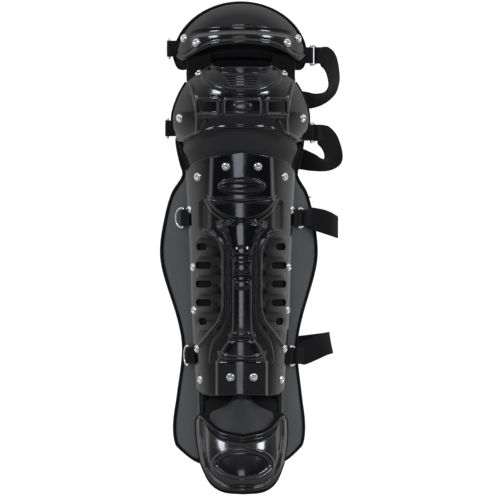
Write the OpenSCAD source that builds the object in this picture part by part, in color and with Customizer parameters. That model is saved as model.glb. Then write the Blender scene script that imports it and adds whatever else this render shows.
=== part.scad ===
// Catcher's leg guard for one leg: thigh, knee, shin and instep sections on a padded liner,
// joined by pivoting laps and held on by four strap sets.
// Millimetres. +Z runs up the leg, the guard's front faces -Y, the leg's axis is X = 0, Y = 0.

/* [Shells] */
// Thickness of the moulded plastic shells
shell_t = 3; // [2.5:0.1:3.2]
// Length of the shin shell below the knee line
shin_length = 328; // [322:1:334]
// Depth of the shin shell's front in front of the leg's axis
shin_reach = 68; // [67:0.5:70]
// Radius of the knee dome about the knee axis
knee_radius = 88; // [86:0.5:90]
// Height of the knee axis above the knee line
knee_axis_z = 72; // [70:0.5:74]
// Height of the thigh shell's top above the knee line
thigh_top = 217.5; // [214:0.5:219]
// Height of each vent slot in the shin shell
vent_h = 10; // [7:0.5:12]
// Distance from one vent slot to the next
vent_pitch = 26; // [20:1:27]

/* [Padding] */
// Thickness of the foam padding behind the shells
pad_t = 12; // [8:0.5:12]
// Thickness of the padding at its bound edge
pad_edge_t = 5; // [3:0.5:6]
// Diameter of the edge binding
binding_d = 6; // [4:0.5:6.5]

/* [Straps] */
// Width of the elastic webbing
web_w = 31; // [22:1:34]
// Thickness of the elastic webbing
web_t = 2; // [1.5:0.1:2.4]
// Diameter of the metal wire in rings and hooks
wire_d = 3; // [2:0.1:3.2]
// Inside height of a D-ring
ring_h = 27; // [24:1:30]
// Depth of a D-ring from its bar to its bow
ring_depth = 12.5; // [11:0.5:13]
// Height of the webbing tab that holds a D-ring
tab_h = 22.5; // [18:0.5:22.5]

/* [Rivets] */
// Diameter of a rivet's head
rivet_d = 12; // [8:0.5:13]

/* [Hidden] */

fit_gap = 0.4;          // between a shell and the padding behind it
side_angle = 72;        // how far the shin shell wraps to each side
shin_depth = 62;        // depth of the shin section's ellipse
pad_front = shell_t + fit_gap;
pad_back = pad_front + pad_t;
wing_start = 0.7;       // share of the pad's width that lies behind the shell
wing_flare = 1;         // the wings slope back as fast as they run out
ear_back = 8;           // how far the wings' top ends bend back behind the knee shell

// Outlines as [height, half-width] or [height, depth], from the bottom up
shin_half = [[-430, 60], [-shin_length, 62], [-290, 64], [-210, 69], [-140, 71], [-17, 77], [0, 79], [22, 87]];
shin_front = [[-430, shin_reach], [-shin_length, shin_reach], [-170, shin_reach + 2], [10, shin_reach - 2],
    [30, shin_reach - 2]];
wing_half = [[-424, 56], [-416, 74], [-400, 87], [-372, 91], [-330, 86], [-265, 79], [-224, 85], [-157, 105],
    [-128, 109], [-92, 105], [-48, 94], [-22, 79], [-4, 83], [10, 86], [22, 88],
    [32, 89]];
knee_half = [[20, 81], [26, 86], [35, 92], [50, 95], [67, 94], [90, 86], [112, 73], [130, 60], [137, 57]];
plate_half = [[-24, 66], [-12, 70], [3, 75], [14, 78], [25, 78], [38, 76], [56, 67], [90, 62]];
toe_half = [[-465, 42], [-450, 49], [-425, 55], [-392, 61], [-370, 62], [-357, 61], [-350, 58], [-343, 53],
    [-336, 47], [-329, 42], [-322, 38]];
flap_inset = [[-396, 6], [-360, 8], [-347, 9], [-335, 15], [-322, 14]];
toe_front = [[-465, 112], [-430, 106], [-392, 92], [-354, 72], [-336, 63], [-320, 60]];

// Edges as [share of the half-width, height]
shin_top_edge = [[0, 10.5], [0.55, 1], [0.8, -7], [1, -20]];
shin_low_edge = [[0, -shin_length], [0.7, -shin_length], [1, -shin_length + 9]];
pad_top_edge = [[0, 3], [0.5, 6], [0.7, 12], [0.85, 22], [1, 29]];
pad_low_edge = [[0, -310], [0.53, -310], [0.57, -350], [0.64, -405], [0.73, -419], [0.88, -418], [1, -398]];
knee_top_edge = [[0, 137], [0.6, 134], [0.85, 123], [1, 110]];
knee_low_edge = [[0, 42], [0.35, 40.5], [0.65, 34], [0.85, 27], [0.95, 24], [1, 25]];
knee_pad_low_edge = [[0, 14], [0.5, 17], [0.72, 24], [0.88, 38], [1, 44]];
toe_top_edge = [[0, -384], [0.4, -376], [0.8, -355], [1, -364]];
toe_low_edge = [[0, -462], [0.5, -459], [0.8, -447], [1, -423]];

// The thigh section's bottom edges as [distance from the middle, height]
thigh_half = 88.5;
thigh_pad_half = 91;
thigh_widest_z = 146;
thigh_low_edge = [[0, 161], [40, 157], [65, 147], [82, 138], [thigh_half, 142]];
thigh_pad_low_edge = [[0, 145], [40, 142], [60, 135], [76, 128.5], [86, 130], [thigh_pad_half, 142]];

// Radial layers under the knee dome, measured in from its surface
plate_layer = 4.5;
knee_pad_layer = 9;
knee_pad_t = 10;
tongue_t = 3.5;
tongue_half = 43;

// Strap routes: the webbing's middle line, and the way its width points
up = [0, 0, 1];
down = [0, 0, -1];
thigh_route = [[[108, -22, 146], up], [[116, -17, 145], [0.15, 0.1, 1]], [[125, -9, 139], [0.5, 0.4, 0.8]],
    [[131, 1, 125], [0.6, 0.8, 0.3]], [[133, 13, 108], [0.45, 0.9, 0]], [[127, 25, 95], [0.2, 0.95, -0.3]],
    [[113, 38, 87], [0, 0.9, -0.5]], [[92, 51, 85], [0, 0.6, -0.8]], [[70, 59, 87], [0, 0.2, -1]],
    [[48, 60, 88], down], [[20, 60, 88], down], [[-20, 60, 88], down], [[-46, 60, 88], down]];
knee_route = [[[107, -9, 38], up], [[115, -4, 36], [0.25, 0, 1]], [[126, 5, 26], [0.65, 0.3, 0.6]],
    [[132, 15, 11], [0.8, 0.6, 0.1]], [[131, 26, -1], [0.75, 0.6, -0.3]], [[121, 37, -5], [0.3, 0.8, -0.6]],
    [[105, 47, -2], [0, 0.6, -0.8]], [[86, 56, 3], [0, 0.2, -1]], [[66, 60, 5], down], [[44, 60, 5], down],
    [[20, 60, 5], down], [[-20, 60, 5], down], [[-46, 60, 5], down]];
calf_route = [[[90, -11, -81], up], [[100, -3, -82], up], [[115, 2, -86], up], [[130, 9, -91], up],
    [[139, 24, -94], up], [[134, 41, -91], up], [[118, 52, -84], up], [[92, 56, -80], up], [[62, 56, -79], up],
    [[18, 56, -79], up], [[-8, 57, -78], up], [[-18, 64, -76], up], [[-10, 71, -73], up], [[10, 72, -71], up],
    [[42, 72, -64], up], [[75, 72, -57], up]];
ankle_route = [[[78, -15, -274], up], [[87, -7, -272], [-0.15, 0, 1]], [[102, 0, -266], [-0.25, 0, 1]],
    [[118, 9, -259], [-0.3, 0, 1]], [[129, 24, -256], [-0.2, 0.1, 1]], [[124, 42, -257], [0, 0.2, 1]],
    [[106, 54, -260], [0.1, 0, 1]], [[80, 60, -263], up], [[58, 60, -264], up], [[40, 60, -264], up],
    [[0, 60, -264], up], [[-45, 60, -264], up]];

// Strap levels: [height of the left tab, left pivot, left ring's heading, left tab's heading and length,
//                height of the right tab, right pivot, right ring's heading, right tab's heading and length,
//                route, slider's place]
THIGH = [155, [-99, -24], 100, -22, 19, 146, [98, -27], 28, -158, 18, thigh_route, [0, 60, 88]];
KNEE = [44, [-101, -16], 100, -25, 17, 38, [99, -17], 45, -153, 18, knee_route, [0, 60, 5]];
CALF = [-81, [-80, -23], 139, -43, 13, -81, [82, -19], 45, -133, 13, calf_route, [40, 56, -79]];
ANKLE = [-273, [-73, -24], 112, -43, 13, -274, [70, -23], 45, -144, 12, ankle_route, [0, 60, -264]];

knee_axis = [0, 0, knee_axis_z];
hinge_z = -322;         // height of the instep hinge

// ---------- curves ----------

function clamp01(a) = max(0, min(1, a));
function ease(a) = let (c = clamp01(a)) c * c * (3 - 2 * c);
function lerp(a, b, s) = a + (b - a) * s;
function unit(v) = v / norm(v);
function interval(s, p, i = 0) = i >= len(s) - 2 || p <= s[i + 1][0] ? i : interval(s, p, i + 1);
function slope(s, i) =
    let (a = max(i - 1, 0), b = min(i + 1, len(s) - 1))
    (s[b][1] - s[a][1]) / (s[b][0] - s[a][0]);

// Smooth curve through stations [position, value]
function smooth(s, p) =
    let (i = interval(s, p), h = s[i + 1][0] - s[i][0], a = clamp01((p - s[i][0]) / h))
    (2 * a^3 - 3 * a^2 + 1) * s[i][1] + (a^3 - 2 * a^2 + a) * slope(s, i) * h
    + (3 * a^2 - 2 * a^3) * s[i + 1][1] + (a^3 - a^2) * slope(s, i + 1) * h;

// Smooth space curve through points, with steps points between each pair
function spline(p, steps) = concat(
    [for (i = [0:len(p) - 2]) for (k = [0:steps - 1])
        let (a = k / steps, p0 = p[max(i - 1, 0)], p1 = p[i], p2 = p[i + 1], p3 = p[min(i + 2, len(p) - 1)])
        0.5 * (2 * p1 + (p2 - p0) * a + (2 * p0 - 5 * p1 + 4 * p2 - p3) * a^2 + (3 * p1 - p0 - 3 * p2 + p3) * a^3)],
    [p[len(p) - 1]]);

// Even steps from -1 to 1 and from 0 to 1
function across(n) = [for (i = [0:n]) 2 * i / n - 1];
function along(n) = [for (i = [0:n]) i / n];

// ---------- solids from point grids ----------

// Closed sheet between a front and a back grid; rows run up and columns run towards +X
module sheet(front, back) {
    rows = len(front);
    cols = len(front[0]);
    count = rows * cols;
    function f(r, c) = r * cols + c;
    function b(r, c) = count + r * cols + c;
    faces = concat(
        [for (r = [0:rows - 2]) for (c = [0:cols - 2]) each [
            [f(r, c), f(r + 1, c), f(r + 1, c + 1)], [f(r, c), f(r + 1, c + 1), f(r, c + 1)],
            [b(r, c), b(r + 1, c + 1), b(r + 1, c)], [b(r, c), b(r, c + 1), b(r + 1, c + 1)]]],
        [for (c = [0:cols - 2]) let (r = rows - 1) each [
            [f(0, c), f(0, c + 1), b(0, c + 1)], [f(0, c), b(0, c + 1), b(0, c)],
            [f(r, c + 1), f(r, c), b(r, c)], [f(r, c + 1), b(r, c), b(r, c + 1)]]],
        [for (r = [0:rows - 2]) let (c = cols - 1) each [
            [f(r + 1, 0), f(r, 0), b(r, 0)], [f(r + 1, 0), b(r, 0), b(r + 1, 0)],
            [f(r, c), f(r + 1, c), b(r + 1, c)], [f(r, c), b(r + 1, c), b(r, c)]]]);
    polyhedron(concat([for (r = front) each r], [for (r = back) each r]), faces);
}

// Skin over a row of rings; a closed row joins its end to its start
module skin(rings, closed = false) {
    n = len(rings);
    m = len(rings[0]);
    last = closed ? n - 1 : n - 2;
    walls = [for (i = [0:last]) for (j = [0:m - 1])
        let (a = i * m, b = ((i + 1) % n) * m, k = (j + 1) % m)
        each [[a + j, b + j, b + k], [a + j, b + k, a + k]]];
    ends = closed ? [] : [[for (j = [0:m - 1]) j], [for (j = [m - 1:-1:0]) (n - 1) * m + j]];
    polyhedron([for (r = rings) each r], concat(walls, ends));
}

// Rings of a given cross-section along a path; the section's second axis leans towards hint,
// which is one direction or one for each point
function swept(path, section, hint, closed = false) =
    let (n = len(path))
    [for (i = [0:n - 1])
        let (before = closed ? path[(i + n - 1) % n] : path[max(i - 1, 0)],
             after = closed ? path[(i + 1) % n] : path[min(i + 1, n - 1)],
             lean = is_list(hint[0]) ? hint[i] : hint,
             t = unit(after - before), a = unit(cross(t, lean)), b = cross(t, a))
        [for (s = section) path[i] + a * s[0] + b * s[1]]];
function round_section(d, n) = [for (i = [0:n - 1]) d / 2 * [cos(360 * i / n), sin(360 * i / n)]];
function flat_section(w, t) = [[t, w] / 2, [-t, w] / 2, [-t, -w] / 2, [t, -w] / 2];

// ---------- surfaces ----------

// Shin section: side is the angle round the shell from the front, in is the depth below its surface
function shin_at(side, z, in) =
    let (a = smooth(shin_half, z) / sin(side_angle) - in, b = shin_depth - in)
    [a * sin(side), shin_depth - smooth(shin_front, z) - b * cos(side), z];

// The padding follows the shell and then flares into a wing on each side
function pad_at(u, z, in, edge) =
    let (s = sign(u), w = abs(u))
    w <= wing_start ? shin_at(side_angle * u / wing_start, z, in) :
    let (k = (w - wing_start) / (1 - wing_start), root = shin_at(side_angle * s, z, in),
         front = shin_at(side_angle * s, z, pad_front),
         tip = smooth(wing_half, z) - edge * 0.7,
         tip_y = front[1] + (smooth(wing_half, z) - abs(front[0])) * wing_flare + edge * 0.7
             + ear_back * ease(z / 18))
    [lerp(root[0], s * tip, k), lerp(root[1], tip_y, k), z];

// Knee dome: a surface of revolution about the knee axis
function knee_r(x) = sqrt(117^2 - x^2) - 117 + knee_radius;
function knee_at(x, z, in) =
    let (r = knee_r(x), rise = z - knee_axis_z, lift = asin(max(-1, min(1, rise / r))))
    [x, -(r - in) * cos(lift), knee_axis_z + (r - in) * sin(lift)];
function knee_y(x, z, in) = -sqrt(max(25, (knee_r(x) - in)^2 - (z - knee_axis_z)^2));

// Thigh dome: part of an ellipsoid
function thigh_y(x, z) = -75 * sqrt(max(0, 1 - (x / 100)^2 - ((z - 150) / 85)^2));
function thigh_arch(x, half, rise) = thigh_widest_z + rise * max(0, 1 - (x / half)^2)^0.54;

// Instep and toe section
function toe_at(side, z, in, inset = 0) =
    let (a = (smooth(toe_half, z) - inset) / sin(side_angle) - in, b = 40 - in)
    [a * sin(side), 40 - smooth(toe_front, z) - b * cos(side), z];

// ---------- shin ----------

shin_columns = across(22);
shin_rows = along(22);

function shin_grid(in) = [for (v = shin_rows) [for (u = shin_columns)
    shin_at(side_angle * u, lerp(smooth(shin_low_edge, abs(u)), smooth(shin_top_edge, abs(u)), v), in)]];

// One vent: a slot with round ends cut square to the shell's side
module vent(row, side) {
    length = row == 0 ? 15 : row == 4 ? 13 : 23;
    middle = row == 0 ? 52 : row == 4 ? 51 : 48.5;
    translate([side * middle, -45, -121.5 - row * vent_pitch]) rotate([0, 0, side * 42]) hull()
        for (end = [-1, 1])
            translate([end * (length * 1.25 - vent_h) / 2, 0, 0]) rotate([90, 0, 0])
                cylinder(d = vent_h, h = 50, $fn = 16, center = true);
}

module shin_shell() {
    color("#141416") difference() {
        sheet(shin_grid(0), shin_grid(shell_t));
        for (row = [0:4], side = [-1, 1]) vent(row, side);
    }
}

// The lap plate follows the dome's inner layer above its lower edge and the shin shell's back below
function plate_point(u, v, in) =
    let (w = abs(u), low = lerp(-24, -18, w), high = knee_axis_z + 13 * (1 - 0.3 * w * w),
         z = lerp(low, high, v), x = u * smooth(plate_half, z),
         lip = smooth(knee_low_edge, min(1, abs(x) / 93)) - 3,
         a = smooth(shin_half, min(z, 20)) / sin(side_angle) - shell_t - in,
         under = shin_depth - smooth(shin_front, z) - (shin_depth - shell_t - in)
             * sqrt(max(0.01, 1 - (x / a)^2)),
         over = knee_y(x, max(z, lip), plate_layer + in))
    [x, lerp(over, under, ease((lip - z) / (lip - 4))), z];

module knee_plate() {
    color("#26272a") sheet(
        [for (v = along(16)) [for (u = across(18)) plate_point(u, v, 0)]],
        [for (v = along(16)) [for (u = across(18)) plate_point(u, v, shell_t)]]);
}

function pad_z(u, v) = lerp(smooth(pad_low_edge, abs(u)), smooth(pad_top_edge, abs(u)), v);
function pad_grid(in, edge) = [for (v = along(24)) [for (u = across(28)) pad_at(u, pad_z(u, v), in, edge)]];

module shin_pad() {
    color("#4a4b4f") sheet(pad_grid(pad_front, 0), pad_grid(pad_back, pad_edge_t));
}

// The binding runs round the padding's edge, from one side of the instep notch to the other
module shin_binding() {
    low = 0.53;
    middle = (pad_front + pad_back) / 2;
    half_edge = pad_edge_t / 2;
    path = concat(
        [for (k = along(14)) let (u = -lerp(low, 1, k)) pad_at(u, pad_z(u, 0), middle, half_edge)],
        [for (k = [1:23]) pad_at(-1, pad_z(-1, k / 24), middle, half_edge)],
        [for (u = across(18)) pad_at(u, pad_z(u, 1), middle, half_edge)],
        [for (k = [23:-1:1]) pad_at(1, pad_z(1, k / 24), middle, half_edge)],
        [for (k = along(14)) let (u = lerp(1, low, k)) pad_at(u, pad_z(u, 0), middle, half_edge)]);
    color("#0d0d0e") skin(swept(path, round_section(binding_d, 6), [0, 1, 0]));
}

// Rivet with a flat-topped head, a shank through the layers and a washer behind them
module rivet(place, heading, grip) {
    translate(place) rotate([0, acos(heading[2] / norm(heading)), atan2(heading[1], heading[0])]) {
        cylinder(d = rivet_d, h = 1.2, $fn = 12);
        cylinder(d = rivet_d * 0.65, h = 2, $fn = 12);
        translate([0, 0, -grip]) cylinder(d = 5, h = grip + 0.5, $fn = 8);
        translate([0, 0, -grip - 1]) cylinder(d = 10, h = 1, $fn = 12);
    }
}

module shin_rivet(x, z) {
    a = smooth(shin_half, z) / sin(side_angle);
    side = asin(x / a);
    rivet(shin_at(side, z, 0), [sin(side) / a, -cos(side) / shin_depth, 0], pad_back);
}

module shin_rivets() {
    color("#c9cacd") for (side = [-1, 1]) {
        shin_rivet(side * 22, -10);
        shin_rivet(side * 15.6, -309 + 6);
        for (place = [[61, -24], [72, -70], [67, -150], [65.5, -210], [61.5, -264], [57, -307]])
            shin_rivet(side * place[0], place[1]);
    }
}

// Leather strip riveted under the shin shell; the instep section hangs from its lower edge
module instep_hinge() {
    color("#1b1b1c") sheet(
        [for (z = [-321.6, -310, -297]) [for (u = across(8)) shin_at(26 * u, z, shell_t + 0.2)]],
        [for (z = [-321.6, -310, -297]) [for (u = across(8)) shin_at(26 * u, z, shell_t + 2.4)]]);
}

// ---------- knee ----------

function knee_point(u, v, in) =
    let (z = lerp(smooth(knee_low_edge, abs(u)), smooth(knee_top_edge, abs(u)), v))
    knee_at(u * smooth(knee_half, z), z, in);
function knee_pad_point(u, v, in) =
    let (z = lerp(smooth(knee_pad_low_edge, abs(u)), smooth(knee_top_edge, abs(u)) - 3, v),
         x = u * (smooth(knee_half, max(z, 26)) - 2))
    [x, knee_y(x, z, knee_pad_layer) + in / lerp(1, 1.6, abs(u)), z];

module knee_shell() {
    color("#141416") sheet(
        [for (v = along(16)) [for (u = across(20)) knee_point(u, v, 0)]],
        [for (v = along(16)) [for (u = across(20)) knee_point(u, v, shell_t)]]);
}

module knee_pad() {
    color("#2c2d30") sheet(
        [for (v = along(14)) [for (u = across(18)) knee_pad_point(u, v, 0)]],
        [for (v = along(14)) [for (u = across(18)) knee_pad_point(u, v, knee_pad_t)]]);
}

// Binding up each side of the knee padding
module knee_binding() {
    color("#0d0d0e") for (side = [-1, 1])
        skin(swept([for (v = along(12)) knee_pad_point(side, v, 3) + [side * 1.5, 0, 0]],
            round_section(binding_d, 6), [0, 1, 0]));
}

module knee_rivets() {
    color("#c9cacd") for (side = [-1, 1]) {
        rivet(knee_at(side * 86, 57.5, 0), [side * 1.1, -0.95, -0.3], 9);
        rivet([side * 59, -53.5, 121], [side * 0.4, -0.85, 0.3], 7);
    }
}

// Webbing link between the knee's top corner and the thigh padding
function link_grid(side, in) = [for (z = [108, 116, 122, 130, 138, 147]) [for (x = side > 0 ? [47:6.75:74] : [-74:6.75:-47])
    [x, lerp(knee_y(x, min(z, 119), shell_t + 1), thigh_y(x, z) + shell_t * 1.4 + 0.8, ease((z - 112) / 18)) + in, z]]];

module link(side) {
    color("#0f0f10") sheet(link_grid(side, 0), link_grid(side, 2.4));
}

// ---------- thigh ----------

function thigh_x(u, half) = half * sin(90 * u);
function thigh_grid(half, rise, low, n, in, t) = [for (v = along(n)) [for (u = across(22))
    let (x = thigh_x(u, half), z = lerp(smooth(low, abs(x)), thigh_arch(x, half, rise), v))
    [x, thigh_y(x, z) + in + t, z]]];
function thigh_pad_in(z) = pad_front + 1.2 + 4.6 * ease((170 - z) / 18);

module thigh_shell() {
    front = thigh_grid(thigh_half, thigh_top - thigh_widest_z, thigh_low_edge, 10, 0, 0);
    back = [for (row = front) [for (p = row) p + [0, shell_t * (1 + 0.4 * (p[0] / thigh_half)^2), 0]]];
    color("#141416") sheet(front, back);
}

function thigh_pad_grid(t) = [for (row = thigh_grid(thigh_pad_half, thigh_top - thigh_widest_z + 0.5,
    thigh_pad_low_edge, 12, 0, 0)) [for (p = row) p + [0, thigh_pad_in(p[2]) + t, 0]]];

module thigh_pad() {
    color("#2c2d30") sheet(thigh_pad_grid(0), thigh_pad_grid(pad_t));
}

module thigh_binding() {
    grid = thigh_pad_grid(pad_t * 0.4);
    top = len(grid) - 1;
    path = concat(grid[0], [for (i = [len(grid[0]) - 2:-1:1]) grid[top][i]]);
    color("#0d0d0e") skin(swept(path, round_section(binding_d, 6), [0, 1, 0], true), true);
}

// Tongue that closes the gap between thigh and knee: it slides in the knee dome's inner layer
function tongue_point(u, v, in) =
    let (x = u * tongue_half, r = knee_r(x),
         lip = asin((smooth(knee_top_edge, abs(x) / 60) - knee_axis_z) / r) + 2.5,
         lift = lerp(16, lip, min(1, v / 0.7)),
         low = [x, -(r - plate_layer - in) * cos(lift), knee_axis_z + (r - plate_layer - in) * sin(lift)],
         high = [x, thigh_y(x, 154) + thigh_pad_in(154) + 6 + in, 154])
    lerp(low, high, ease((v - 0.7) / 0.3));

module thigh_tongue() {
    color("#1b1b1c") sheet(
        [for (v = along(14)) [for (u = across(10)) tongue_point(u, v, 0)]],
        [for (v = along(14)) [for (u = across(10)) tongue_point(u, v, tongue_t)]]);
}

module thigh_rivet(x, z) {
    y = thigh_y(x, z);
    rivet([x, y, z], [x / 100^2, y / 75^2, (z - 150) / 85^2], 13);
}

module thigh_rivets() {
    color("#c9cacd") for (side = [-1, 1]) {
        thigh_rivet(side * 80, 169);
        thigh_rivet(side * 62, 162);
    }
}

// ---------- instep and toe ----------

function flap_point(u, v, in) =
    let (z = lerp(-396, hinge_z, v))
    toe_at(68 * u, z, in, smooth(flap_inset, z));

module instep_flap() {
    color("#2b2c30") sheet(
        [for (v = along(12)) [for (u = across(12)) flap_point(u, v, 0.4)]],
        [for (v = along(12)) [for (u = across(12)) flap_point(u, v, 3)]]);
}

module toe_shell() {
    function z(u, v) = lerp(smooth(toe_low_edge, abs(u)), smooth(toe_top_edge, abs(u)), v);
    color("#141416") sheet(
        [for (v = along(12)) [for (u = across(16)) toe_at(side_angle * u, z(u, v), -shell_t)]],
        [for (v = along(12)) [for (u = across(16)) toe_at(side_angle * u, z(u, v), 0)]]);
}

module toe_pad() {
    function z(u, v) = lerp(smooth(toe_low_edge, abs(u)) + 5, hinge_z - 0.5 - 4 * abs(u), v);
    color("#1b1b1c") sheet(
        [for (v = along(14)) [for (u = across(14)) toe_at(68 * u, z(u, v), 3.2, 3)]],
        [for (v = along(14)) [for (u = across(14)) toe_at(68 * u, z(u, v), 11, 3)]]);
}

module toe_binding() {
    function z(u, v) = lerp(smooth(toe_low_edge, abs(u)), smooth(toe_top_edge, abs(u)), v);
    path = concat(
        [for (u = across(20)) toe_at(side_angle * u, z(u, 1), -1)],
        [for (k = [9:-1:1]) toe_at(side_angle, z(1, k / 10), -1)],
        [for (i = [20:-1:0]) let (u = i / 10 - 1) toe_at(side_angle * u, z(u, 0), -1)],
        [for (k = [1:9]) toe_at(-side_angle, z(-1, k / 10), -1)]);
    color("#0d0d0e") skin(swept(path, round_section(binding_d - 1, 6), [0, 1, 0], true), true);
}

// ---------- straps ----------

// Webbing tab: a sleeve round a ring's bar and a flat tail that goes under the shell
module tab(place, z, heading, length) {
    color("#0f0f10") translate([place[0], place[1], z]) rotate([0, 0, heading]) difference() {
        union() {
            cylinder(r = 3.8, h = tab_h, center = true, $fn = 24);
            translate([0, -1.25, -tab_h / 2]) cube([length, 2.5, tab_h]);
        }
        cylinder(d = wire_d + 1, h = tab_h + 2, center = true, $fn = 24);
    }
}

// D-ring: a straight bar in its tab and a bow that points along heading
module ring(place, z, heading) {
    h = ring_h / 2;
    bar = [[0, h - 2], [0, 0], [0, 2 - h]];
    bow = [for (a = [-90:15:90]) [ring_depth * pow(max(0, cos(a)), 0.7), h * sin(a)]];
    path = [for (p = concat(bar, bow)) [p[0] * cos(heading), p[0] * sin(heading), p[1]]];
    color("#c9cacd") translate([place[0], place[1], z])
        skin(swept(path, round_section(wire_d, 6), [-sin(heading), cos(heading), 0], true), true);
}

module web(route) {
    color("#0f0f10") skin(swept(spline([for (p = route) p[0]], 3), flat_section(web_w, web_t),
        spline([for (p = route) p[1]], 3)));
}

// Wire hook at the end of a strap, in the plane of the webbing
module hook(route) {
    end = route[len(route) - 1][0];
    back = route[len(route) - 2][0];
    heading = atan2(end[1] - back[1], end[0] - back[0]);
    tilt = asin((end[2] - back[2]) / norm(end - back));
    h = web_w / 2 - 3;
    frame = [[0, 0, h], [-2, 0, 0], [0, 0, -h], [9, 0, -h], [11, 0, 0], [9, 0, h]];
    claw = [[10, 0, 0], [18, 0, 0], [25, -1, 0], [30, -5, 0], [28, -9, 0], [22, -10, 0]];
    color("#c9cacd") translate(end) rotate([0, -tilt, heading]) {
        skin(swept(frame, round_section(wire_d, 6), [0, 1, 0], true), true);
        skin(swept(claw, round_section(wire_d, 6), [0, 0, 1]));
    }
}

// Slider: a flat frame that the webbing runs through
module slider(place) {
    channel = [30, web_t + 1.2, web_w + 1.4];
    color("#1d1d1f") translate(place) difference() {
        cube([22, channel[1] + 4, channel[2] + 7], center = true);
        cube(channel, center = true);
        for (x = [-5.5, 5.5]) translate([x, 4, 0]) cube([6, 8, channel[2] - 3], center = true);
    }
}

shin_shell();
knee_plate();
shin_pad();
shin_binding();
shin_rivets();
instep_hinge();
tab(CALF[1], CALF[0], CALF[3], CALF[4]);  // tab_calf_left
tab(CALF[6], CALF[5], CALF[8], CALF[9]);  // tab_calf_right
tab(ANKLE[1], ANKLE[0], ANKLE[3], ANKLE[4]);  // tab_ankle_left
tab(ANKLE[6], ANKLE[5], ANKLE[8], ANKLE[9]);  // tab_ankle_right
knee_shell();
knee_pad();
knee_binding();
knee_rivets();
tab(KNEE[1], KNEE[0], KNEE[3], KNEE[4]);  // tab_knee_left
tab(KNEE[6], KNEE[5], KNEE[8], KNEE[9]);  // tab_knee_right
link(-1);  // link_left
link(1);  // link_right
thigh_shell();
thigh_pad();
thigh_tongue();
thigh_binding();
thigh_rivets();
tab(THIGH[1], THIGH[0], THIGH[3], THIGH[4]);  // tab_thigh_left
tab(THIGH[6], THIGH[5], THIGH[8], THIGH[9]);  // tab_thigh_right
instep_flap();
toe_shell();
toe_pad();
toe_binding();
web(THIGH[10]);  // strap_thigh
hook(THIGH[10]);  // hook_thigh
slider(THIGH[11]);  // slider_thigh
ring(THIGH[1], THIGH[0], THIGH[2]);  // ring_thigh_left
ring(THIGH[6], THIGH[5], THIGH[7]);  // ring_thigh_right
web(KNEE[10]);  // strap_knee
hook(KNEE[10]);  // hook_knee
slider(KNEE[11]);  // slider_knee
ring(KNEE[1], KNEE[0], KNEE[2]);  // ring_knee_left
ring(KNEE[6], KNEE[5], KNEE[7]);  // ring_knee_right
web(CALF[10]);  // strap_calf
hook(CALF[10]);  // hook_calf
slider(CALF[11]);  // slider_calf
ring(CALF[1], CALF[0], CALF[2]);  // ring_calf_left
ring(CALF[6], CALF[5], CALF[7]);  // ring_calf_right
web(ANKLE[10]);  // strap_ankle
hook(ANKLE[10]);  // hook_ankle
slider(ANKLE[11]);  // slider_ankle
ring(ANKLE[1], ANKLE[0], ANKLE[2]);  // ring_ankle_left
ring(ANKLE[6], ANKLE[5], ANKLE[7]);  // ring_ankle_right
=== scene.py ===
"""Looks for a catcher's leg guard: glossy lapped shells, padded sections, webbing and nickel hardware.

Lengths in the shape code are millimetres in the frame's axes (+Z up the leg, -Y to the front); meshes
are made in metres by the builders.
"""

import math

import bmesh
import bpy
import numpy as np
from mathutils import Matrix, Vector


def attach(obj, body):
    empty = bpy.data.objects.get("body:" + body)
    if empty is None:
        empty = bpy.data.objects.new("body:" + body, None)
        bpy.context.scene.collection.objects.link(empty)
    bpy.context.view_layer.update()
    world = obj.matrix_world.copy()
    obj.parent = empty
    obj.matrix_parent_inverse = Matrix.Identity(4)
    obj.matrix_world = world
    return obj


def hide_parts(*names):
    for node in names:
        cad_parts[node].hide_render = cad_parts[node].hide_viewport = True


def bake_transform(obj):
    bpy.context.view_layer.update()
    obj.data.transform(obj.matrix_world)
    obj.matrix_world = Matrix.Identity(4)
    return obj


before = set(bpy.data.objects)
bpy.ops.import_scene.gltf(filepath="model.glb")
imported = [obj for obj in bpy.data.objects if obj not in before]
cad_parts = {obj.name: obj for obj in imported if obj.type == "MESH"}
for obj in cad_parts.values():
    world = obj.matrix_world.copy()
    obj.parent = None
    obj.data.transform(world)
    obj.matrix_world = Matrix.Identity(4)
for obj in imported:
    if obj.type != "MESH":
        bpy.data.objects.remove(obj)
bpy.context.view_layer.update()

MM = 0.001


# ---------- numbers and curves ----------

def clamp01(a):
    return np.clip(a, 0.0, 1.0)


def ease(a):
    a = clamp01(a)
    return a * a * (3 - 2 * a)


def lerp(a, b, s):
    return a + (b - a) * s


def smooth(stations, p):
    """Smooth curve through a short list of (position, value) stations, the one the CAD uses."""
    s = np.asarray(stations, float)
    p = np.asarray(p, float)
    n = len(s)
    i = np.clip(np.searchsorted(s[:, 0], p, side="left") - 1, 0, n - 2)
    h = s[i + 1, 0] - s[i, 0]
    a = clamp01((p - s[i, 0]) / h)

    def slope(k):
        lo, hi = np.maximum(k - 1, 0), np.minimum(k + 1, n - 1)
        return (s[hi, 1] - s[lo, 1]) / (s[hi, 0] - s[lo, 0])

    return ((2 * a**3 - 3 * a**2 + 1) * s[i, 1] + (a**3 - 2 * a**2 + a) * slope(i) * h
            + (3 * a**2 - 2 * a**3) * s[i + 1, 1] + (a**3 - a**2) * slope(i + 1) * h)


def spline(points, steps):
    """Smooth space curve through points, with steps points between each pair."""
    p = np.asarray(points, float)
    n = len(p)
    out = []
    for i in range(n - 1):
        p0, p1, p2, p3 = p[max(i - 1, 0)], p[i], p[i + 1], p[min(i + 2, n - 1)]
        for k in range(steps):
            a = k / steps
            out.append(0.5 * (2 * p1 + (p2 - p0) * a + (2 * p0 - 5 * p1 + 4 * p2 - p3) * a**2
                              + (3 * p1 - p0 - 3 * p2 + p3) * a**3))
    out.append(p[-1])
    return np.array(out)


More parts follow.
